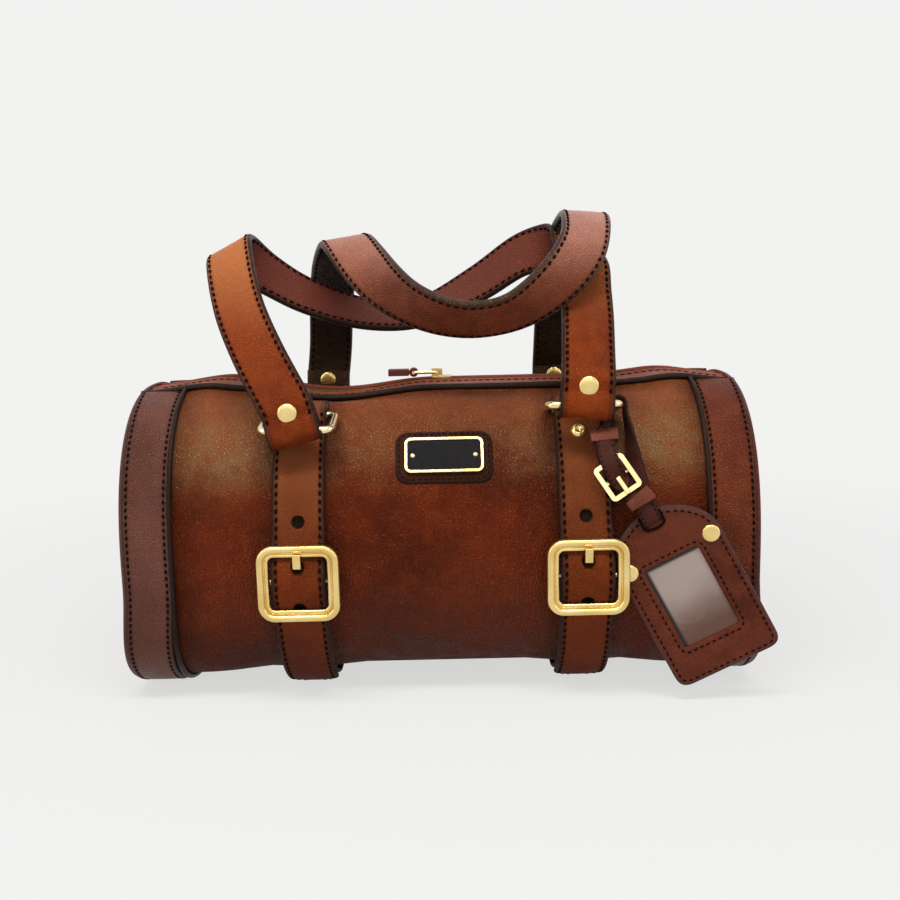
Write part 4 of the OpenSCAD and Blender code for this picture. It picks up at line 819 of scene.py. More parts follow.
# %% [markdown]
# ## The straps
# A front strap leaves the ring, lies on the barrel, rides up over the buckle's centre bar, dips back
# through the frame and ends in a round tip under the bag. The ride is a table of angle and height, so
# numpy's interp draws the route and the strip follows it.

# %% Straps
TIP, RING_A = 154.0, 37.8
SEAT = 1.8 * MM + 0.4 * MM
BUCKLE_A, RIDE = 92.2, 7.0
RIDE_AT = np.append(BUCKLE_A + np.array([-19, -15, -12, -9, -7, -5, -3, 0, 2.5, 5, 7.7, 9.8, 13]),
                    [112, 147, TIP])
RIDE_UP = np.append(RIDE * np.array([0, 0.04, 0.14, 0.32, 0.5, 0.7, 0.89, 1, 0.94, 0.78, 0.6, 0.5, 0.4]),
                    [2.2, 2.2, 2.7])
MM_PER_DEGREE = 1.3745


def bell(angle, centre, full, reach=9.0):
    """A hump over the ring's bar: cos squared of the distance, in millimetres along the leather."""
    s = np.abs(angle - centre) * MM_PER_DEGREE
    return np.where(s < reach, full * np.cos(np.radians(90 * np.minimum(s, reach) / reach)) ** 2, 0)


def soften(v, n=5):
    """A running mean that keeps the ends."""
    pad = np.concatenate([np.full(n, v[0]), v, np.full(n, v[-1])])
    return np.convolve(pad, np.ones(2 * n + 1) / (2 * n + 1), "valid")


# the leather under a ring's bar, the bar and the leather over it, all in mm
UNDER_BAR, RING_BAR, OVER_BAR = 2.2, 2.4, 2.2
HOLE_UP, HOLE_STEP, HOLE_R, TIP_R = 7.2, 19, 2.8 * MM, 14.7 * MM
BAR_Z = 63.16 * MM
strap_a = np.linspace(31, TIP, 420)
ride = soften(np.interp(strap_a, RIDE_AT, RIDE_UP), 4) * MM
hump = bell(strap_a, RING_A, UNDER_BAR + RING_BAR + OVER_BAR - STRAP_T / MM) * MM
FRONT_HOLE_Z = [BAR_Z / MM + HOLE_UP + k * HOLE_STEP for k in (-1, 0, 1)]
for side, word in ((-1, "left"), (1, "right")):
    thick = STRAP_T + hump * 0.5
    middle = on_barrel(side * STRAP_X, strap_a, ride + hump * 0.75 + STRAP_T / 2)
    d = arc(middle)
    from_tip = d[-1] - d
    round_tip = np.clip(1 - (1 - np.minimum(from_tip / TIP_R, 1)) ** 2, 0.004, 1)
    half = np.minimum(TIP_R * np.sqrt(round_tip), STRAP_HALF)
    wide = np.tile([1.0, 0, 0], (len(middle), 1))
    holes = [(float(np.interp(-z, -middle[60:, 2] * 1000, d[60:])), 0.0, HOLE_R) for z in FRONT_HOLE_Z]
    strip = leather_strip(word + "_strap", middle, wide, half, STRAP_T, holes=holes, fine=51,
                          margin=1.9 * MM)
    clad(strip, "strap", "bag", word + "_front_strap", slot="strap_leather")
    sewn = strip_rows(middle[20:], wide[20:], half[20:], STRAP_T / 2 + 0.08 * MM, start=2 * MM,
                      end=4.5 * MM)
    sew(word + "_strap_stitches", sewn)
    under_a = np.linspace(90, 329, 360)
    back_hump = bell(under_a, 360 - RING_A, UNDER_BAR + RING_BAR + OVER_BAR - BAND_T / MM) * MM
    middle = on_barrel(side * STRAP_X, under_a, BAND_T / 2 + back_hump * 0.75)
    wide = np.tile([1.0, 0, 0], (len(middle), 1))
    strip = leather_strip(word + "_strap_below", middle, wide, STRAP_HALF, BAND_T, fine=27)
    clad(strip, "strap", "bag", word + "_under_strap", slot="strap_leather")
    sew(word + "_strap_below_stitches", strip_rows(middle, wide, STRAP_HALF, BAND_T / 2 + 0.06 * MM,
                                                   start=30 * MM))
print("straps", [round(h[0] * 1000) for h in holes])

# %% [markdown]
# ## Buckles and rings
# A cast buckle has a broad rounded rim and a thinner step inside it. Its section is drawn once, as
# reach inward and height, and carried round a rectangle with round corners. Inward offsets of such a
# rectangle keep the corners' centres, so nothing folds.

# %% Frames on rounded rectangles
def round_rectangle(w, h, r, per_corner=14, per_side=10):
    """Points and outward directions of a rectangle with round corners, anticlockwise from the right
    side."""
    where, face = [], []
    for k, (i, j) in enumerate(((1, 1), (-1, 1), (-1, -1), (1, -1))):
        cx, cz = (w / 2 - r) * i, (h / 2 - r) * j
        t = np.radians(np.linspace(90 * k, 90 * k + 90, per_corner))
        n = np.stack([np.cos(t), np.sin(t)], -1)
        where.append(np.array([cx, cz]) + r * n)
        face.append(n)
    points, normals = [], []
    for k in range(4):
        points.append(where[k])
        normals.append(face[k])
        a, b = where[k][-1], where[(k + 1) % 4][0]
        t = np.linspace(0, 1, per_side + 2)[1:-1, None]
        points.append(a + (b - a) * t)
        normals.append(np.repeat(face[k][-1:], per_side, 0))
    return np.concatenate(points), np.concatenate(normals)


def framed(name, w, h, r, section, place):
    """Carries a section of (inward, height) round a rounded rectangle; place turns (x, z, height) into
    points."""
    p, n = round_rectangle(w, h, r)
    flat = p[:, None] - n[:, None] * section[None, :, :1]
    height = np.broadcast_to(section[None, :, 1], flat.shape[:2])
    points = place(flat[..., 0], flat[..., 1], height)
    return closed_mesh(name, points, tube_faces(len(p), len(section), closed=True))


def rounded(corners, radius, steps=4):
    """A polygon with its corners rounded by short curves."""
    out = []
    n = len(corners)
    for k in range(n):
        a, b, c = (np.array(corners[(k + d) % n], float) for d in (-1, 0, 1))
        r = min(radius, np.linalg.norm(a - b) / 2.1, np.linalg.norm(c - b) / 2.1)
        p, q = b + unit(a - b) * r, b + unit(c - b) * r
        for t in np.linspace(0, 1, steps):
            out.append(p * (1 - t) ** 2 + b * 2 * t * (1 - t) + q * t * t)
    return np.array(out)


FRAME_BACK = -81.4 * MM
BUCKLE_WIDE, BUCKLE_TALL, BUCKLE_R, BUCKLE_BAR_R = 37.5 * MM, 35.6 * MM, 8 * MM, 1.2 * MM
buckle_section = rounded([(0.3, 0.0), (0, 0.7), (0, 2.3), (0.5, 3.15), (1.6, 3.45), (2.8, 3.15),
                          (3.25, 2.5), (3.35, 2.0), (3.7, 1.95), (3.95, 2.4), (4.6, 2.65), (5.3, 2.35),
                          (5.6, 1.7), (5.5, 0.9), (4.9, 0.6), (3.3, 0.5), (3.1, 0.0)], 0.3, 3) * MM
for side, word in ((-1, "left"), (1, "right")):
    rim = framed(word + "_buckle", BUCKLE_WIDE, BUCKLE_TALL, BUCKLE_R, buckle_section,
                 lambda x, z, h, side=side: np.stack([x + side * STRAP_X, FRAME_BACK - h, z + BAR_Z], -1))
    clad(rim, "brass", "bag", word + "_buckle_frame", slot="satin_brass")
    b = circle(16)
    route = np.array([(-14.3, -82.6), (-14.3, -81.6), (-14.3, -80.6), (-13.9, -79.8), (-13.1, -79.5),
                      (-6, -79.5)]) * MM
    route = np.vstack([route, route[::-1] * [-1, 1]])
    heading = unit(np.gradient(route, axis=0))
    sideways = np.stack([-heading[:, 1], heading[:, 0]], -1)
    flat = route[:, None] + sideways[:, None] * (BUCKLE_BAR_R * np.cos(b))[None, :, None]
    bar = np.stack([flat[..., 0] + side * STRAP_X, flat[..., 1],
                    BAR_Z + BUCKLE_BAR_R * np.sin(b)[None] + 0 * flat[..., 0]], -1)
    clad(closed_mesh(word + "_buckle_bar", bar, tube_faces(12, 16)), "brass", "bag", word + "_buckle_frame",
         slot="satin_brass")

# %% [markdown]
# ## Softened copies of the metal
# The small metal pieces are right in shape but have knife edges. A bevel catches a thin line of light
# on each edge. The CAD mesh itself is never changed, so a copy is merged, bevelled and shown instead.

# %% Bevelled copies
EDGE_ANGLE = 35.0


def softened(node, finish, body, width, slot, angle=EDGE_ANGLE, lower=0.0):
    """A merged copy of a CAD node with its sharp edges bevelled."""
    piece = bpy.data.objects.new(node + "_soft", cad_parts[node].data.copy())
    bpy.context.scene.collection.objects.link(piece)
    bm = bmesh.new()
    bm.from_mesh(piece.data)
    bmesh.ops.remove_doubles(bm, verts=bm.verts, dist=1e-6)
    bmesh.ops.dissolve_limit(bm, angle_limit=math.radians(1.0), verts=bm.verts, edges=bm.edges)
    bmesh.ops.recalc_face_normals(bm, faces=bm.faces)
    bmesh.ops.translate(bm, verts=bm.verts, vec=(0, 0, -lower))
    bm.to_mesh(piece.data)
    bm.free()
    edge = piece.modifiers.new("bevel", "BEVEL")
    edge.width, edge.segments, edge.limit_method, edge.angle_limit = width, 3, "ANGLE", math.radians(angle)
    edge.harden_normals = False
    piece.data.polygons.foreach_set("use_smooth", np.full(len(piece.data.polygons), True))
    smooth = piece.modifiers.new("weighted", "WEIGHTED_NORMAL")
    smooth.keep_sharp = True
    return clad(piece, finish, body, node, slot=slot)


# node, finish, body, bevel in mm, slot, and for some the angle of an edge and how far it hangs
SOFTENED = [
    ("left_buckle_prong", "brass", "left_prong", 0.95, "satin_brass"),
    ("right_buckle_prong", "brass", "right_prong", 0.95, "satin_brass"),
    ("zip_slider", "old_brass", "zip_slider", 0.3, "satin_brass", EDGE_ANGLE, ZIP_DROP),
    ("zip_pull_loop", "pale_brass", "zip_pull", 0.3, "pale_brass", EDGE_ANGLE, ZIP_DROP),
    ("tag_buckle_frame", "pale_brass", "tag_loop", 0.35, "pale_brass"),
    ("tag_buckle_prong", "pale_brass", "tag_loop", 0.3, "pale_brass"),
    ("plaque_rim", "brass", "bag", 0.25, "satin_brass"),
    ("plaque_pins", "pale_brass", "bag", 0.1, "pale_brass", 60),
    ("left_front_ring", "pale_brass", "front_rings", 0.2, "pale_brass", 70),
    ("right_front_ring", "pale_brass", "front_rings", 0.2, "pale_brass", 70),
    ("left_back_ring", "pale_brass", "back_rings", 0.2, "pale_brass", 70),
    ("right_back_ring", "pale_brass", "back_rings", 0.2, "pale_brass", 70),
    ("plaque_enamel", "enamel", "bag", 0.2, "enamel"),
    ("left_buckle_chape", "dark", "bag", 0.4, "dark_leather"),
    ("right_buckle_chape", "dark", "bag", 0.4, "dark_leather"),
    ("zip_pull_tab", "keeper", "zip_pull", 0.7, "tag_leather", EDGE_ANGLE, ZIP_DROP),
    ("tag_keepers", "keeper", "tag_loop", 0.7, "tag_leather"),
]
for node, finish, body, width, slot, *more in SOFTENED:
    softened(node, finish, body, width * MM, slot, *more)
print("softened copies:", len(SOFTENED))


def studs(name, centres, normals, profile):
    """Round metal heads: a profile of (radius, height) in millimetres, spun about the normal at each
    centre."""
    centres, profile = np.atleast_2d(centres), np.array(profile) * MM
    normals = unit(np.atleast_2d(normals).astype(float))
    turn = circle(32)
    side = unit(np.cross(normals, [0.31, 0.12, 0.94]))
    other = np.cross(normals, side)
    ring = np.cos(turn)[None, :, None] * side[:, None] + np.sin(turn)[None, :, None] * other[:, None]
    points = centres[:, None, None] + profile[None, :, None, :1] * ring[:, None]
    points = points + profile[None, :, None, 1:] * normals[:, None, None]
    one, step = tube_faces(len(profile), 32), len(profile) * 32
    return closed_mesh(name, points, [[v + k * step for v in f] for k in range(len(centres)) for f in one])


DISC = [(0.05, 1.25), (2.2, 1.22), (3.5, 1.12), (4.1, 0.92), (4.5, 0.5), (4.55, -0.4), (0.5, -0.4)]
CUPPED = [(0.05, 1.25), (0.6, 1.3), (1.1, 1.9), (1.5, 2.3), (2.1, 2.2), (2.9, 1.65), (3.45, 0.85),
          (3.6, 0.2), (3.6, -0.3), (0.5, -0.3)]
for side, word in ((-1, "left"), (1, "right")):
    low_corner, high_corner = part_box(word + "_strap_rivet")
    middle = (np.array(low_corner) + np.array(high_corner)) / 2
    tries = np.linspace(38, 75, 1500)
    near = np.linalg.norm(barrel(tries) + outward(tries) * 4.0 * MM - middle[1:], axis=1)
    at = tries[np.argmin(near)]
    seat = barrel(at) + outward(at) * STRAP_T
    clad(studs(word + "_strap_stud", [middle[0], *seat], [0, *outward(at)], CUPPED), "brass", "bag",
         word + "_strap_rivet", slot="satin_brass")
print("strap stud at", round(float(at), 1), "degrees")

# %% [markdown]
# ## The handles
# Each handle is one long strap that twists and falls into a loop. Its middle line passes through
# listed points, given as shares of the bag's half length, half depth and rise, and a Catmull-Rom
# curve joins them. A second curve turns the width direction along the way. Where a handle meets its
# ring the leather folds round the bar, so the strap's path ends in a drop shape that goes round it.

# %% Handle routes
TOP, RISE, FOLD_UP, SPAN = BAND_T + HEIGHT, 78 * MM, 12 * MM, 14
FRONT_SHARES = [(-0.567, -0.747, 0.18), (-0.651, -0.48, 0.475), (-0.705, -0.147, 0.795),
                (-0.692, 0.093, 0.782), (-0.61, 0.24, 0.654), (-0.475, 0.32, 0.5), (-0.271, 0.36, 0.372),
                (-0.068, 0.36, 0.372), (0.136, 0.32, 0.551), (0.285, 0.227, 0.731), (0.376, 0.16, 0.782),
                (0.447, 0.053, 0.788), (0.481, -0.107, 0.744), (0.492, -0.28, 0.66), (0.488, -0.413, 0.519),
                (0.481, -0.613, 0.333)]
FRONT_ACROSS = [(0.95, 0, 0.32), (0.93, 0, 0.36), (0.9, 0.05, 0.43), (0.72, 0.35, 0.58), (0.35, 0.62, 0.7),
                (0.15, 0.72, 0.68), (0.05, 0.8, 0.6), (-0.12, 0.82, 0.56), (-0.28, 0.68, 0.66),
                (-0.34, 0.56, 0.76), (-0.38, 0.22, 0.9), (-0.78, -0.2, 0.5), (-0.96, -0.08, 0.18),
                (-1, 0, 0.04), (-1, 0, 0), (-1, 0, 0.03)]
BACK_SHARES = [(-0.434, 0.92, 0.128), (-0.417, 0.773, 0.423), (-0.386, 0.507, 0.679), (-0.339, 0.187, 0.84),
               (-0.305, -0.053, 0.833), (-0.244, -0.267, 0.705), (-0.176, -0.44, 0.577),
               (-0.088, -0.573, 0.462), (0.014, -0.667, 0.385), (0.115, -0.707, 0.359),
               (0.224, -0.707, 0.391), (0.322, -0.68, 0.487), (0.41, -0.64, 0.628), (0.471, -0.533, 0.788),
               (0.498, -0.267, 0.942), (0.502, 0.027, 0.974), (0.481, 0.32, 0.846), (0.468, 0.613, 0.609),
               (0.458, 0.827, 0.333)]
BACK_ACROSS = [(1, 0, -0.03), (1, 0, -0.03), (1, 0, 0.02), (0.98, 0.08, 0.1), (0.96, 0.02, 0.22),
               (0.86, -0.28, 0.36), (0.7, -0.48, 0.48), (0.45, -0.64, 0.6), (0.22, -0.72, 0.66),
               (0, -0.74, 0.67), (-0.22, -0.7, 0.66), (-0.42, -0.52, 0.72), (-0.64, -0.28, 0.66),
               (-0.84, -0.12, 0.5), (-0.98, -0.05, 0.18), (-1, 0, 0.05), (-1, 0, 0.05), (-1, 0, 0.04),
               (-1, 0, 0.02)]
RING_AXIS = barrel(RING_A) + outward(RING_A) * SEAT
PITCH_BAR = 23 * MM


def outer_bar(side, face, lift_deg):
    """Middle of a ring's outer bar: the ring's inner bar plus its pitch, lifted by an angle."""
    t = math.radians(lift_deg)
    return np.array([side * STRAP_X, face * -(RING_AXIS[0] - PITCH_BAR * math.cos(t)),
                     RING_AXIS[1] + PITCH_BAR * math.sin(t)])


def catmull(p, m, closed=False):
    """Catmull-Rom: each span is a cubic of its four nearest points, so the curve passes through all of
    them."""
    p = np.asarray(p, float)
    n = len(p)
    k = np.arange(n if closed else n - 1)[:, None]
    pick = (lambda i: p[i % n]) if closed else (lambda i: p[np.clip(i, 0, n - 1)])
    p0, p1, p2, p3 = (pick(k + d)[:, 0][:, None] for d in (-1, 0, 1, 2))
    t = (np.arange(m) / m)[None, :, None]
    out = 0.5 * (2 * p1 + (p2 - p0) * t + (2 * p0 - 5 * p1 + 4 * p2 - p3) * t ** 2
                 + (3 * p1 - p0 - 3 * p2 + p3) * t ** 3)
    out = out.reshape(-1, p.shape[1])
    return out if closed else np.concatenate([out, p[-1:]])


def handle_path(bar_a, shift_a, tilt_a, bar_b, shift_b, tilt_b, shares, turns):
    """Middle line and width directions of a handle between the tops of its two folds."""
    def end(bar, shift, tilt):
        t = math.radians(tilt)
        return bar + np.array([shift * MM + FOLD_UP * math.sin(t), 0, FOLD_UP * math.cos(t)])
    lean = lambda tilt, s: (s * math.cos(math.radians(tilt)), 0, -s * math.sin(math.radians(tilt)))
    middle = np.array(shares) * np.array([HALF, DEPTH / 2, RISE]) + np.array([0, 0, TOP])
    path = catmull(np.vstack([[end(bar_a, shift_a, tilt_a)], middle, [end(bar_b, shift_b, tilt_b)]]), SPAN)
    wide = catmull(np.vstack([[lean(tilt_a, 1)], turns, [lean(tilt_b, -1)]]), SPAN)
    return path, wide


FOLD_R, FOLD_SHUT = 4.0, 1.35


def fold_path(bar, shift, tilt, face):
    """Drop-shaped path round a bar, from behind it, under it and up its front, leaning by tilt."""
    t = np.radians(np.linspace(0, 180, 26))
    r = FOLD_R * MM
    bend = np.stack([0 * t, r * np.cos(t) * -face, -1.5 * MM - r * np.sin(t)], -1)
    rise = np.linspace(14.2, 0, 20)[:, None] * MM
    pinch = (FOLD_SHUT + (FOLD_R - FOLD_SHUT) * smoothstep(7, 0, rise / MM)) * MM
    back = np.hstack([0 * rise, -face * pinch, rise - 1.0 * MM * (rise < 1 * MM)])
    front = np.hstack([0 * rise, face * pinch, rise])[::-1]
    path = np.vstack([back[:-1], bend, front[1:]])
    c, s = math.cos(math.radians(tilt)), math.sin(math.radians(tilt))
    turn = np.array([[c, 0, s], [0, 1, 0], [-s, 0, c]])
    wide = np.tile(turn @ np.array([1.0, 0, 0]), (len(path), 1))
    return path @ turn.T + bar + np.array([shift * MM, 0, 0]), wide


bars = {"fl": outer_bar(-1, -1, -9.3), "fr": outer_bar(1, -1, 13.3), "bl": outer_bar(-1, 1, -8),
        "br": outer_bar(1, 1, -8)}
print("front bars", np.round(bars["fl"] * 1000, 1), np.round(bars["fr"] * 1000, 1))

# %% Handles
FOLD_RIVET = 8.6 * MM
HANDLES = (("front", "handle", ("fl", -0.8, -14), ("fr", 1, 4), FRONT_SHARES, FRONT_ACROSS, -1),
           ("back", "back_handle", ("bl", -0.5, 2), ("br", 0.5, -1), BACK_SHARES, BACK_ACROSS, 1))
for word, finish, (ka, sa, ta), (kb, sb, tb), shares, turns, face in HANDLES:
    path, wide = handle_path(bars[ka], sa, ta, bars[kb], sb, tb, shares, turns)
    body = word + "_handle"
    d = arc(path)
    path[:, 1] += face * FOLD_SHUT * MM * (smoothstep(18 * MM, 0, d) + smoothstep(18 * MM, 0, d[-1] - d))
    fold_a, wide_a = fold_path(bars[ka], sa, ta, face)
    fold_b, wide_b = fold_path(bars[kb], sb, tb, face)
    whole = np.vstack([fold_a[:-5], path, fold_b[::-1][5:]])
    across = np.vstack([wide_a[:-5] * face, wide * face, -wide_b[::-1][5:] * face])
    whole = np.stack([soften(whole[:, k], 2) for k in range(3)], -1)
    d = arc(whole)
    from_end = np.minimum(d, d[-1] - d)
    bend = arc(fold_a[:-5])[-1]
    thinned = 0.4 + 0.6 * smoothstep(0, 6 * MM, from_end)
    thick = (2.4 + 1.4 * smoothstep(bend - 2 * MM, bend + 16 * MM, from_end)) * MM * thinned
    # The end leaves by the folds take the inner colour; on the back handle this is painted shade.
    strap = leather_strip(word + "_handle_strap", whole, across, STRAP_HALF, thick, fine=31, both=True,
                          depth=0.3 * MM, margin=1.9 * MM, inner_ends=21 * MM)
    clad(strap, finish, body, body, slot="handle_leather")
    first = len(fold_a) - 5
    for inner_word, cut, sign in (("outer", first - 9, 1), ("inner", first, -1)):
        rows = slice(cut, len(whole) - cut)
        lift_by = sign * (thick[rows, None] / 2 + (0.12 if sign > 0 else 0.0) * MM)
        sewn = strip_rows(whole[rows], across[rows], STRAP_HALF, lift_by)
        sew(f"{word}_handle_{inner_word}_stitches", sewn, body)
    heads, facing = [], []
    for key, shift, tilt in ((ka, sa, ta), (kb, sb, tb)):
        lean = math.radians(tilt)
        for sign in (-1, 1):
            heads.append(bars[key] + np.array([shift * MM + FOLD_RIVET * math.sin(lean), sign * 2.5 * MM,
                                               FOLD_RIVET * math.cos(lean)]))
            facing.append((0, sign, 0))
    clad(studs(word + "_handle_studs", np.array(heads), np.array(facing), DISC), "brass", body,
         word + "_handle_rivets", slot="satin_brass")
    print(word, "handle", round(d[-1] * 1000), "mm long")

# %% [markdown]
# ## The plaque's patch
# A small leather pad is sewn to the curved front under the plate. It is a rounded rectangle laid on
# the barrel: its middle is flat for the plate, and its border follows the leather below.

# %% Plaque patch
def heights(pairs):
    """Pairs of share and height in millimetres, as an array with the height in metres."""
    return np.array(pairs) * np.array([1, MM])


def ring_sheet(name, inner, outer, section, place):
    """Closed slab between two outlines: section gives the share from inner to outer and the height at
    each step round it."""
    share, height = section[:, 0][None], section[:, 1][None]
    flat = inner[:, None] * (1 - share[..., None]) + outer[:, None] * share[..., None]
    points = place(flat[..., 0], flat[..., 1], np.broadcast_to(height, flat.shape[:2]))
    edge = smoothstep(0.9, 0.98, share) + 0 * flat[..., 0]
    return closed_mesh(name, points, tube_faces(len(inner), len(section), closed=True), {"edge": edge})


PLAQUE_A, PLAQUE_X = 54.5, 1.5 * MM
patch_at = barrel(PLAQUE_A)
patch_out = outward(PLAQUE_A)
patch_up = np.array([-patch_out[1], patch_out[0]]) * -1


def on_patch(x, v, h):
    """Patch frame to the bag's: x along it, v up it, h out of it, bent down to the barrel towards its
    border."""
    sink = (v ** 2) / 0.155 * smoothstep(6 * MM, 13 * MM, np.abs(v))
    y = patch_at[0] + patch_up[0] * v + patch_out[0] * (h - sink)
    z = patch_at[1] + patch_up[1] * v + patch_out[1] * (h - sink)
    return np.stack([x + PLAQUE_X, y, z], -1)


PATCH_WIDE, PATCH_TALL, SEAM_IN = 45 * MM, 26 * MM, 3.4 * MM
outer, _ = round_rectangle(PATCH_WIDE, PATCH_TALL, 6 * MM)
centre = outer * 0.02
patch_section = heights([(0, 1.55), (0.7, 1.55), (0.8, 1.5), (0.84, 1.3), (0.88, 1.45), (0.95, 1.35),
                         (0.99, 1.0), (1.0, 0.5), (0.99, -0.8), (0, -0.8)])
clad(ring_sheet("plaque_pad", centre, outer, patch_section, on_patch), "dark", "bag", "plaque_patch",
     slot="dark_leather")
seam, _ = round_rectangle(PATCH_WIDE - SEAM_IN, PATCH_TALL - SEAM_IN, 4.6 * MM, 12, 24)
line = on_patch(seam[:, 0], seam[:, 1], np.full(len(seam), 1.42 * MM))
facing = np.tile([0, *patch_out], (len(line), 1))
sew("plaque_stitches", even_steps(line, facing, 2.7 * MM), length=1.7 * MM, width=0.7 * MM,
    height=0.35 * MM)

# %% [markdown]
# ## The patch under the bag
# Between the two straps the bag rests on a plain patch, as thick as the straps. It is the same kind of
# slab as the plaque's, lying flat, with its edge rounded above and its underside on the floor.

# %% Base patch
outer, _ = round_rectangle(94.5 * MM, 35 * MM, 6 * MM)
base_section = heights([(0, 2.2), (0.9, 2.2), (0.975, 2.1), (0.995, 1.6), (1.0, 0.9), (0.99, 0.2),
                        (0.97, 0.0), (0, 0.0)])
clad(ring_sheet("base_pad", outer * 0.02, outer, base_section, lambda x, v, h: np.stack([x, v, h], -1)),
     "dark", "bag", "base_patch", slot="dark_leather")

# %% [markdown]
# ## The hanging tag
# Two leaves of leather hold a window between them. Each leaf is a ring of leather between the tag's
# outline and the window's, so one section carried round gives the front, the painted edge and the
# back. The strap is a closed loop: over the ring's bar, down through the buckle, and back up.

# %% Tag
TAG_TILT, TAG_TURN = 28.2, -5.5
HANG = np.array([13.3, -21.634, -49.8]) * MM
t = math.radians(13.3)
HOOK = np.array([STRAP_X + 16.2 * MM, RING_AXIS[0] - 10.4 * MM * math.cos(t),
                 RING_AXIS[1] + 10.4 * MM * math.sin(t)])
SLOT = HOOK + HANG
tag_frame = (Matrix.Translation(SLOT) @ Matrix.Rotation(math.radians(-TAG_TILT), 4, "Y")
             @ Matrix.Rotation(math.radians(TAG_TURN), 4, "Z"))
TAG_M = np.array(tag_frame)


def in_tag(x, z, y):
    """Tag frame to the bag's: x across the tag, z up it, y to its back."""
    p = np.stack([x, y, z, np.ones_like(x)], -1)
    return (p @ TAG_M.T)[..., :3]


def resample(loop, n):
    """n even points round a closed loop, from its first point."""
    closed = np.vstack([loop, loop[:1]])
    d = arc(closed)
    at = np.linspace(0, d[-1], n + 1)[:-1]
    return np.stack([np.interp(at, d, closed[:, k]) for k in range(2)], -1)


def by_angle(loop, centre, angles):
    """The loop's point in each direction from a centre."""
    v = loop - centre
    a = np.arctan2(v[:, 1], v[:, 0])
    order = np.argsort(a)
    a, v = a[order], v[order]
    r = np.hypot(v[:, 0], v[:, 1])
    far = np.interp(angles, a, r, period=2 * np.pi)
    return centre + np.stack([np.cos(angles), np.sin(angles)], -1) * far[:, None]


LEAF_HALF, CORNER_R, LEAF_LOW = 25.5, 4.4, -78.3
corner = lambda cx, cz, a0, a1: [(cx + CORNER_R * math.cos(a), cz + CORNER_R * math.sin(a))
                                 for a in np.radians(np.linspace(a0, a1, 9))]
corner_x, corner_z = LEAF_HALF - CORNER_R, LEAF_LOW + CORNER_R
leaf = corner(-corner_x, corner_z, 180, 270) + corner(corner_x, corner_z, 270, 360)
arch = np.radians(np.linspace(0, 180, 61))
arch = np.stack([LEAF_HALF * signed_power(np.cos(arch), 1.11),
                 -15 + 20.6 * signed_power(np.sin(arch), 1.11)], -1)
leaf = resample(np.vstack([leaf, arch]), 600)


def smooth(loop, n):
    """A running mean of 2n + 1 points round a closed loop."""
    padded = np.concatenate([loop[-n:], loop, loop[:n]])
    return np.stack([np.convolve(padded[:, k], np.ones(2 * n + 1) / (2 * n + 1), "valid")
                     for k in range(2)], -1)


leaf = smooth(leaf, 8) * MM
window, _ = round_rectangle(27 * MM, 42 * MM, 1.6 * MM, 10, 30)
centre = np.array([-1 * MM, -40 * MM])
window = resample(window, 600) + centre
angles = np.linspace(-np.pi, np.pi, 361)[:-1]
rim_out, rim_in = by_angle(leaf, centre, angles), by_angle(window, centre, angles)
front_section = heights([(0.0, 0.2), (0.0, 0.8), (0.03, 1.25), (0.10, 1.4), (0.16, 1.22), (0.22, 1.42),
                         (0.5, 1.5), (0.72, 1.42), (0.78, 1.2), (0.84, 1.36), (0.93, 1.28), (0.98, 1.0),
                         (1.0, 0.55), (0.99, 0.05)])
piece = ring_sheet("tag_front", rim_in, rim_out, front_section, lambda x, z, h: in_tag(x, z, -h))
clad(piece, "tag", "tag", "tag_front_leaf", slot="tag_leather")
back_section = heights([(0.0, 0.2), (0.9, 0.2), (0.99, 0.1), (1.0, 0.6), (0.98, 1.1), (0.9, 1.35),
                        (0.0, 1.35)])
piece = ring_sheet("tag_back", centre + (rim_in - centre) * 0.02, rim_out, back_section, in_tag)
clad(piece, "tag", "tag", "tag_back_leaf", slot="tag_leather")


def inset_loop(loop, by, n=400):
    """A loop moved inward by a distance, along its own normals."""
    loop = smooth(resample(loop, n), 3)
    d = np.roll(loop, -1, 0) - np.roll(loop, 1, 0)
    n2 = unit(np.stack([d[:, 1], -d[:, 0]], -1))
    return loop - n2 * by


facing = -TAG_M[:3, 1]
snaps = in_tag(np.array([-20.3, 20.3]) * MM, np.array([-16.5, -16.5]) * MM, np.array([-1.35, -1.35]) * MM)
clad(studs("tag_snap_heads", snaps, np.tile(facing, (2, 1)), np.array(DISC) * [0.9, 0.95]), "brass", "tag",
     "tag_snaps", slot="satin_brass")
# Painted shadow: a dark U-shaped cord round the strap's end where it dips into the slot.
turn = np.radians(np.linspace(180, 360, 25))
border = np.vstack([[(-4.9, 4.5)], np.stack([4.9 * np.cos(turn), -1.0 + 2.0 * np.sin(turn)], -1),
                    [(4.9, 4.5)]]) * MM
border = in_tag(border[:, 0], border[:, 1], np.full(27, -1.45 * MM))
_, across, out = frames(border, np.tile(facing, (27, 1)))
b = circle(10)
border = border[:, None] + 0.7 * MM * (np.cos(b)[None, :, None] * across[:, None]
                                       + np.sin(b)[None, :, None] * out[:, None])
clad(closed_mesh("tag_slot_shadow", border, tube_faces(27, 10)), "thread", "tag", slot="dark_leather")
for word, loop, by in (("outer", leaf, 2.4 * MM), ("window", window, -2.4 * MM)):
    line = inset_loop(loop, by)
    line = in_tag(line[:, 0], line[:, 1], np.full(len(line), -1.44 * MM))
    line = np.vstack([line, line[:1]])
    sew("tag_" + word + "_stitches", even_steps(line, np.tile(facing, (len(line), 1)), 3.1 * MM), "tag",
        length=2.0 * MM, width=0.85 * MM, height=0.4 * MM)

# %% Tag window
mat, tree, shader = fresh("tag_window_film")
where = put(tree, "TexCoord").outputs["Object"]
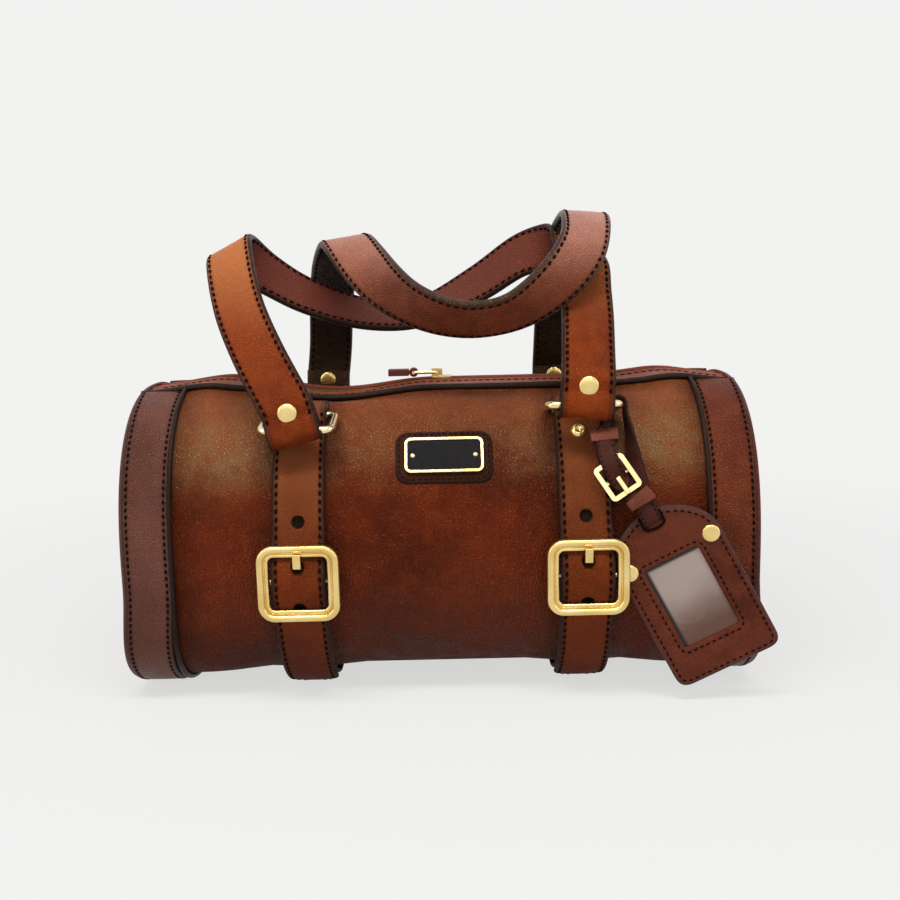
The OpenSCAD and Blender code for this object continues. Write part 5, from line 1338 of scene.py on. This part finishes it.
# Painted reflection: the film is paler and greyer in its upper part and darker brown below; the dark mark
# adds painted shadow along the window's top and left edges.
slope = put(tree, "SeparateXYZ", {0: where}).outputs["Z"]
cloud = noise(tree, where, 55.0, 2.0)
side = put(tree, "SeparateXYZ", {0: where}).outputs["X"]
lower = reckon(tree, "SUBTRACT", plus(tree, slope, times(tree, cloud, 0.016)), times(tree, side, 0.6))
tone = blend_colour(tree, steer(tree, lower, -0.030, 0.004), linear(94, 62, 48), linear(160, 143, 134))
tone = blend_colour(tree, marked(tree, "dark"), tone, linear(16, 12, 12))
tree.links.new(tone, shader.inputs["Base Color"])
shader.inputs["Roughness"].default_value = 0.22
shader.inputs["Specular IOR Level"].default_value = 0.35
FINISH["film"] = mat
wx, wz = np.meshgrid(np.linspace(-15.5, 13.5, 59) * MM, np.linspace(-62, -18, 89) * MM)
sag = 0.16 * MM * np.sin((wz + 0.062) / 0.044 * np.pi) * np.cos((wx + 0.001) / (15 * MM) * np.pi / 2)
curl = np.hypot(wx + 4 * MM, (wz + 37 * MM) * 0.8)
sag = sag + 0.22 * MM * np.exp(-(((curl - 12 * MM) / (0.7 * MM)) ** 2)) * smoothstep(-34 * MM, -42 * MM, wz)
points, faces = shell_between(in_tag(wx, wz, -0.16 * MM - sag), in_tag(wx, wz, 0.15 * MM + 0 * wx))
shade = np.maximum(smoothstep(2.4 * MM, 0.8 * MM, wx + 14.5 * MM),
                   smoothstep(2.4 * MM, 0.8 * MM, -19 * MM - wz))
clad(closed_mesh("tag_film", points, faces, {"dark": np.concatenate([shade.reshape(-1)] * 2)}), "film",
     "tag", "tag_window", slot="window_plastic")

# %% Tag strap
LOOP = np.array([(0, 0, 0, 0, 1), (0, 0, 0, -1, 0), (0.02, 0.1, 0.14, -1, 0), (-0.3, 0.34, 0.2, -0.6, 0),
                 (-0.54, 0.56, 0.24, 0, 0), (-0.46, 0.73, 0.42, 0, 0), (-0.17, 0.84, 0.6, 0, 0),
                 (0.26, 0.97, 0.72, 0, 0), (0.54, 1.12, 0.78, 0, 0), (0.86, 1.15, 0.94, 0, 0),
                 (1, 1, 1.015, 0, 0), (0.9, 0.85, 0.93, 0, 0), (0.62, 0.9, 0.82, 0, 0),
                 (0.5, 0.79, 0.66, 0.2, 0), (0.3, 0.56, 0.45, 0.5, 0), (0.14, 0.28, 0.24, 0.8, 0),
                 (0, 0.06, 0.08, 1, 0), (0, 0, 0, 0.8, 0.6)])
LOOP_ACROSS = [(0, -0.97, 0.23), (0, -0.97, 0.23), (0.4, -0.9, 0.2), (0.8, -0.6, 0.1), (0.97, 0, 0.2),
               (0.93, 0, 0.36), (0.9, 0, 0.42), (0.89, 0, 0.45), (0.89, 0, 0.45), (0.89, 0, 0.45),
               (0.89, 0, 0.45), (0.89, 0, 0.45), (0.89, 0, 0.45), (0.88, -0.2, 0.4), (0.6, -0.7, 0.3),
               (0.25, -0.93, 0.25), (0, -0.97, 0.23), (0, -0.97, 0.23)]
LOOP_R, LOOP_HALF, LOOP_T = 4.2 * MM, 4.5 * MM, 1.6 * MM
loop = HOOK + LOOP[:, :3] * HANG + np.stack([LOOP[:, 3] * LOOP_R, 0 * LOOP[:, 3], LOOP[:, 4] * LOOP_R], -1)
path, wide = catmull(loop, 10, closed=True), catmull(LOOP_ACROSS, 10, closed=True)
path, wide = np.vstack([path, path[:1]]), np.vstack([wide, wide[:1]])
strap = leather_strip("tag_loop", path, wide, LOOP_HALF, LOOP_T, groove=1.2 * MM, depth=0.12 * MM,
                      crown=0.05 * MM, fine=15, margin=0.8 * MM)
clad(strap, "tag_strap", "tag_loop", "tag_strap", slot="tag_leather")
sew("tag_loop_stitches", strip_rows(path, wide, LOOP_HALF, LOOP_T / 2 + 0.05 * MM, inset=1.2 * MM,
                                    pitch=2.6 * MM), "tag_loop", length=1.6 * MM, width=0.6 * MM,
    height=0.35 * MM)
steps = np.linspace(39, 67, 60)
pick = lambda v: np.stack([np.interp(steps, np.arange(len(v)), v[:, k]) for k in range(3)], -1)
tail, tail_wide = pick(path), pick(wide)
_, tail_wide, tail_out = frames(tail, tail_wide)
forward = -np.sign(tail_out[30, 1])
share = np.linspace(0, 1, 60)
rise = (1.45 + 2.2 * np.sin(np.pi * np.clip((share - 0.22) / 0.66, 0, 1)) ** 2) * MM
point = 4.3 * MM * np.sqrt(np.clip(1 - (np.maximum(share - 0.86, 0) / 0.14) ** 2, 0.02, 1))
tail = tail + tail_out * (forward * rise)[:, None]
piece = leather_strip("tag_strap_tail", tail, tail_wide * forward, point, 1.2 * MM, groove=1.2 * MM,
                      depth=0.12 * MM, crown=0.1 * MM, fine=15, margin=0.8 * MM)
clad(piece, "tag_strap", "tag_loop", slot="tag_leather")
sew("tag_tail_stitches", strip_rows(tail[:52], tail_wide[:52] * forward, point[:52], 0.62 * MM,
                                    inset=1.2 * MM, pitch=2.4 * MM), "tag_loop", length=1.5 * MM,
    width=0.6 * MM, height=0.35 * MM)
print("tag strap", round(arc(path)[-1] * 1000), "mm round")

# %% [markdown]
# ## Floor and light
# A pale floor and soft lamps show the leather without colouring it. A big lamp above and in front
# gives the long highlight on the barrel's shoulder. A broad one in front and two at the sides fill
# the rest.

# %% Floor, world and lamps
BACKDROP = 0.888
SKY = (BACKDROP, BACKDROP, BACKDROP * 0.99, 1)


def seen_straight(tree):
    """1 for what the camera sees, itself or in metal or film, and 0 for the light that falls on the bag."""
    rays = put(tree, "LightPath").outputs
    bounced = reckon(tree, "MAXIMUM", rays["Is Glossy Ray"], rays["Is Transmission Ray"])
    return reckon(tree, "MAXIMUM", rays["Is Camera Ray"], bounced)


floor_mat, tree, shader = fresh("floor_paint")
shader.inputs["Base Color"].default_value = (0.70, 0.70, 0.70, 1)
shader.inputs["Roughness"].default_value = 0.9
glow = put(tree, "Emission", {"Color": SKY, "Strength": 1.0})
seen = seen_straight(tree)
spot = put(tree, "TexCoord").outputs["Object"]
away = put(tree, "VectorMath", {0: spot}, operation="LENGTH").outputs["Value"]
shown = times(tree, seen, steer(tree, away, 0.16, 0.62, 0.72, 1.0))
mixer = put(tree, "MixShader", {0: shown, 1: shader.outputs[0], 2: glow.outputs[0]})
tree.links.new(mixer.outputs[0], tree.nodes["Material Output"].inputs["Surface"])
floor = put_mesh("floor", [(-6, -3, 0), (6, -3, 0), (6, 9, 0), (-6, 9, 0)], [[0, 1, 2, 3]], smooth=False)
floor.data.materials.append(floor_mat)
floor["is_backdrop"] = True

world = bpy.data.worlds.new("studio")
bpy.context.scene.world = world
world.use_nodes = True
tree = world.node_tree
tree.nodes["Background"].inputs["Color"].default_value = (1, 1, 1, 1)
tree.nodes["Background"].inputs["Strength"].default_value = 0.30
sky = put(tree, "Background", {"Color": SKY, "Strength": 1.0})
seen = seen_straight(tree)
mixer = put(tree, "MixShader", {0: seen, 1: tree.nodes["Background"].outputs[0], 2: sky.outputs[0]})
tree.links.new(mixer.outputs[0], tree.nodes["World Output"].inputs["Surface"])


def lamp(name, where, at, size, power):
    """A rectangular lamp at a place, turned to look at a point."""
    light = bpy.data.lights.new(name, "AREA")
    light.shape, light.size, light.size_y, light.energy = "RECTANGLE", size[0], size[1], power
    made = bpy.data.objects.new(name, light)
    bpy.context.scene.collection.objects.link(made)
    look = Vector(at) - Vector(where)
    made.matrix_world = Matrix.Translation(where) @ look.to_track_quat("-Z", "Y").to_matrix().to_4x4()
    return made


lamp("key_lamp", (-0.05, -0.50, 1.10), (0, 0, 0.12), (1.1, 0.20), 12.0)
lamp("front_lamp", (0.0, -1.7, 0.70), (0, 0, 0.08), (1.6, 0.7), 3.2)
lamp("left_lamp", (-1.2, -0.6, 0.6), (0, 0, 0.10), (0.6, 0.8), 4.2)
lamp("right_lamp", (1.3, -0.4, 0.6), (0, 0, 0.10), (0.6, 0.8), 3.0)
bpy.context.scene.view_settings.view_transform = "Standard"

# %% Size of what is shown
low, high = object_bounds()
print("visual box", [round(v * 1000, 1) for v in low], [round(v * 1000, 1) for v in high])
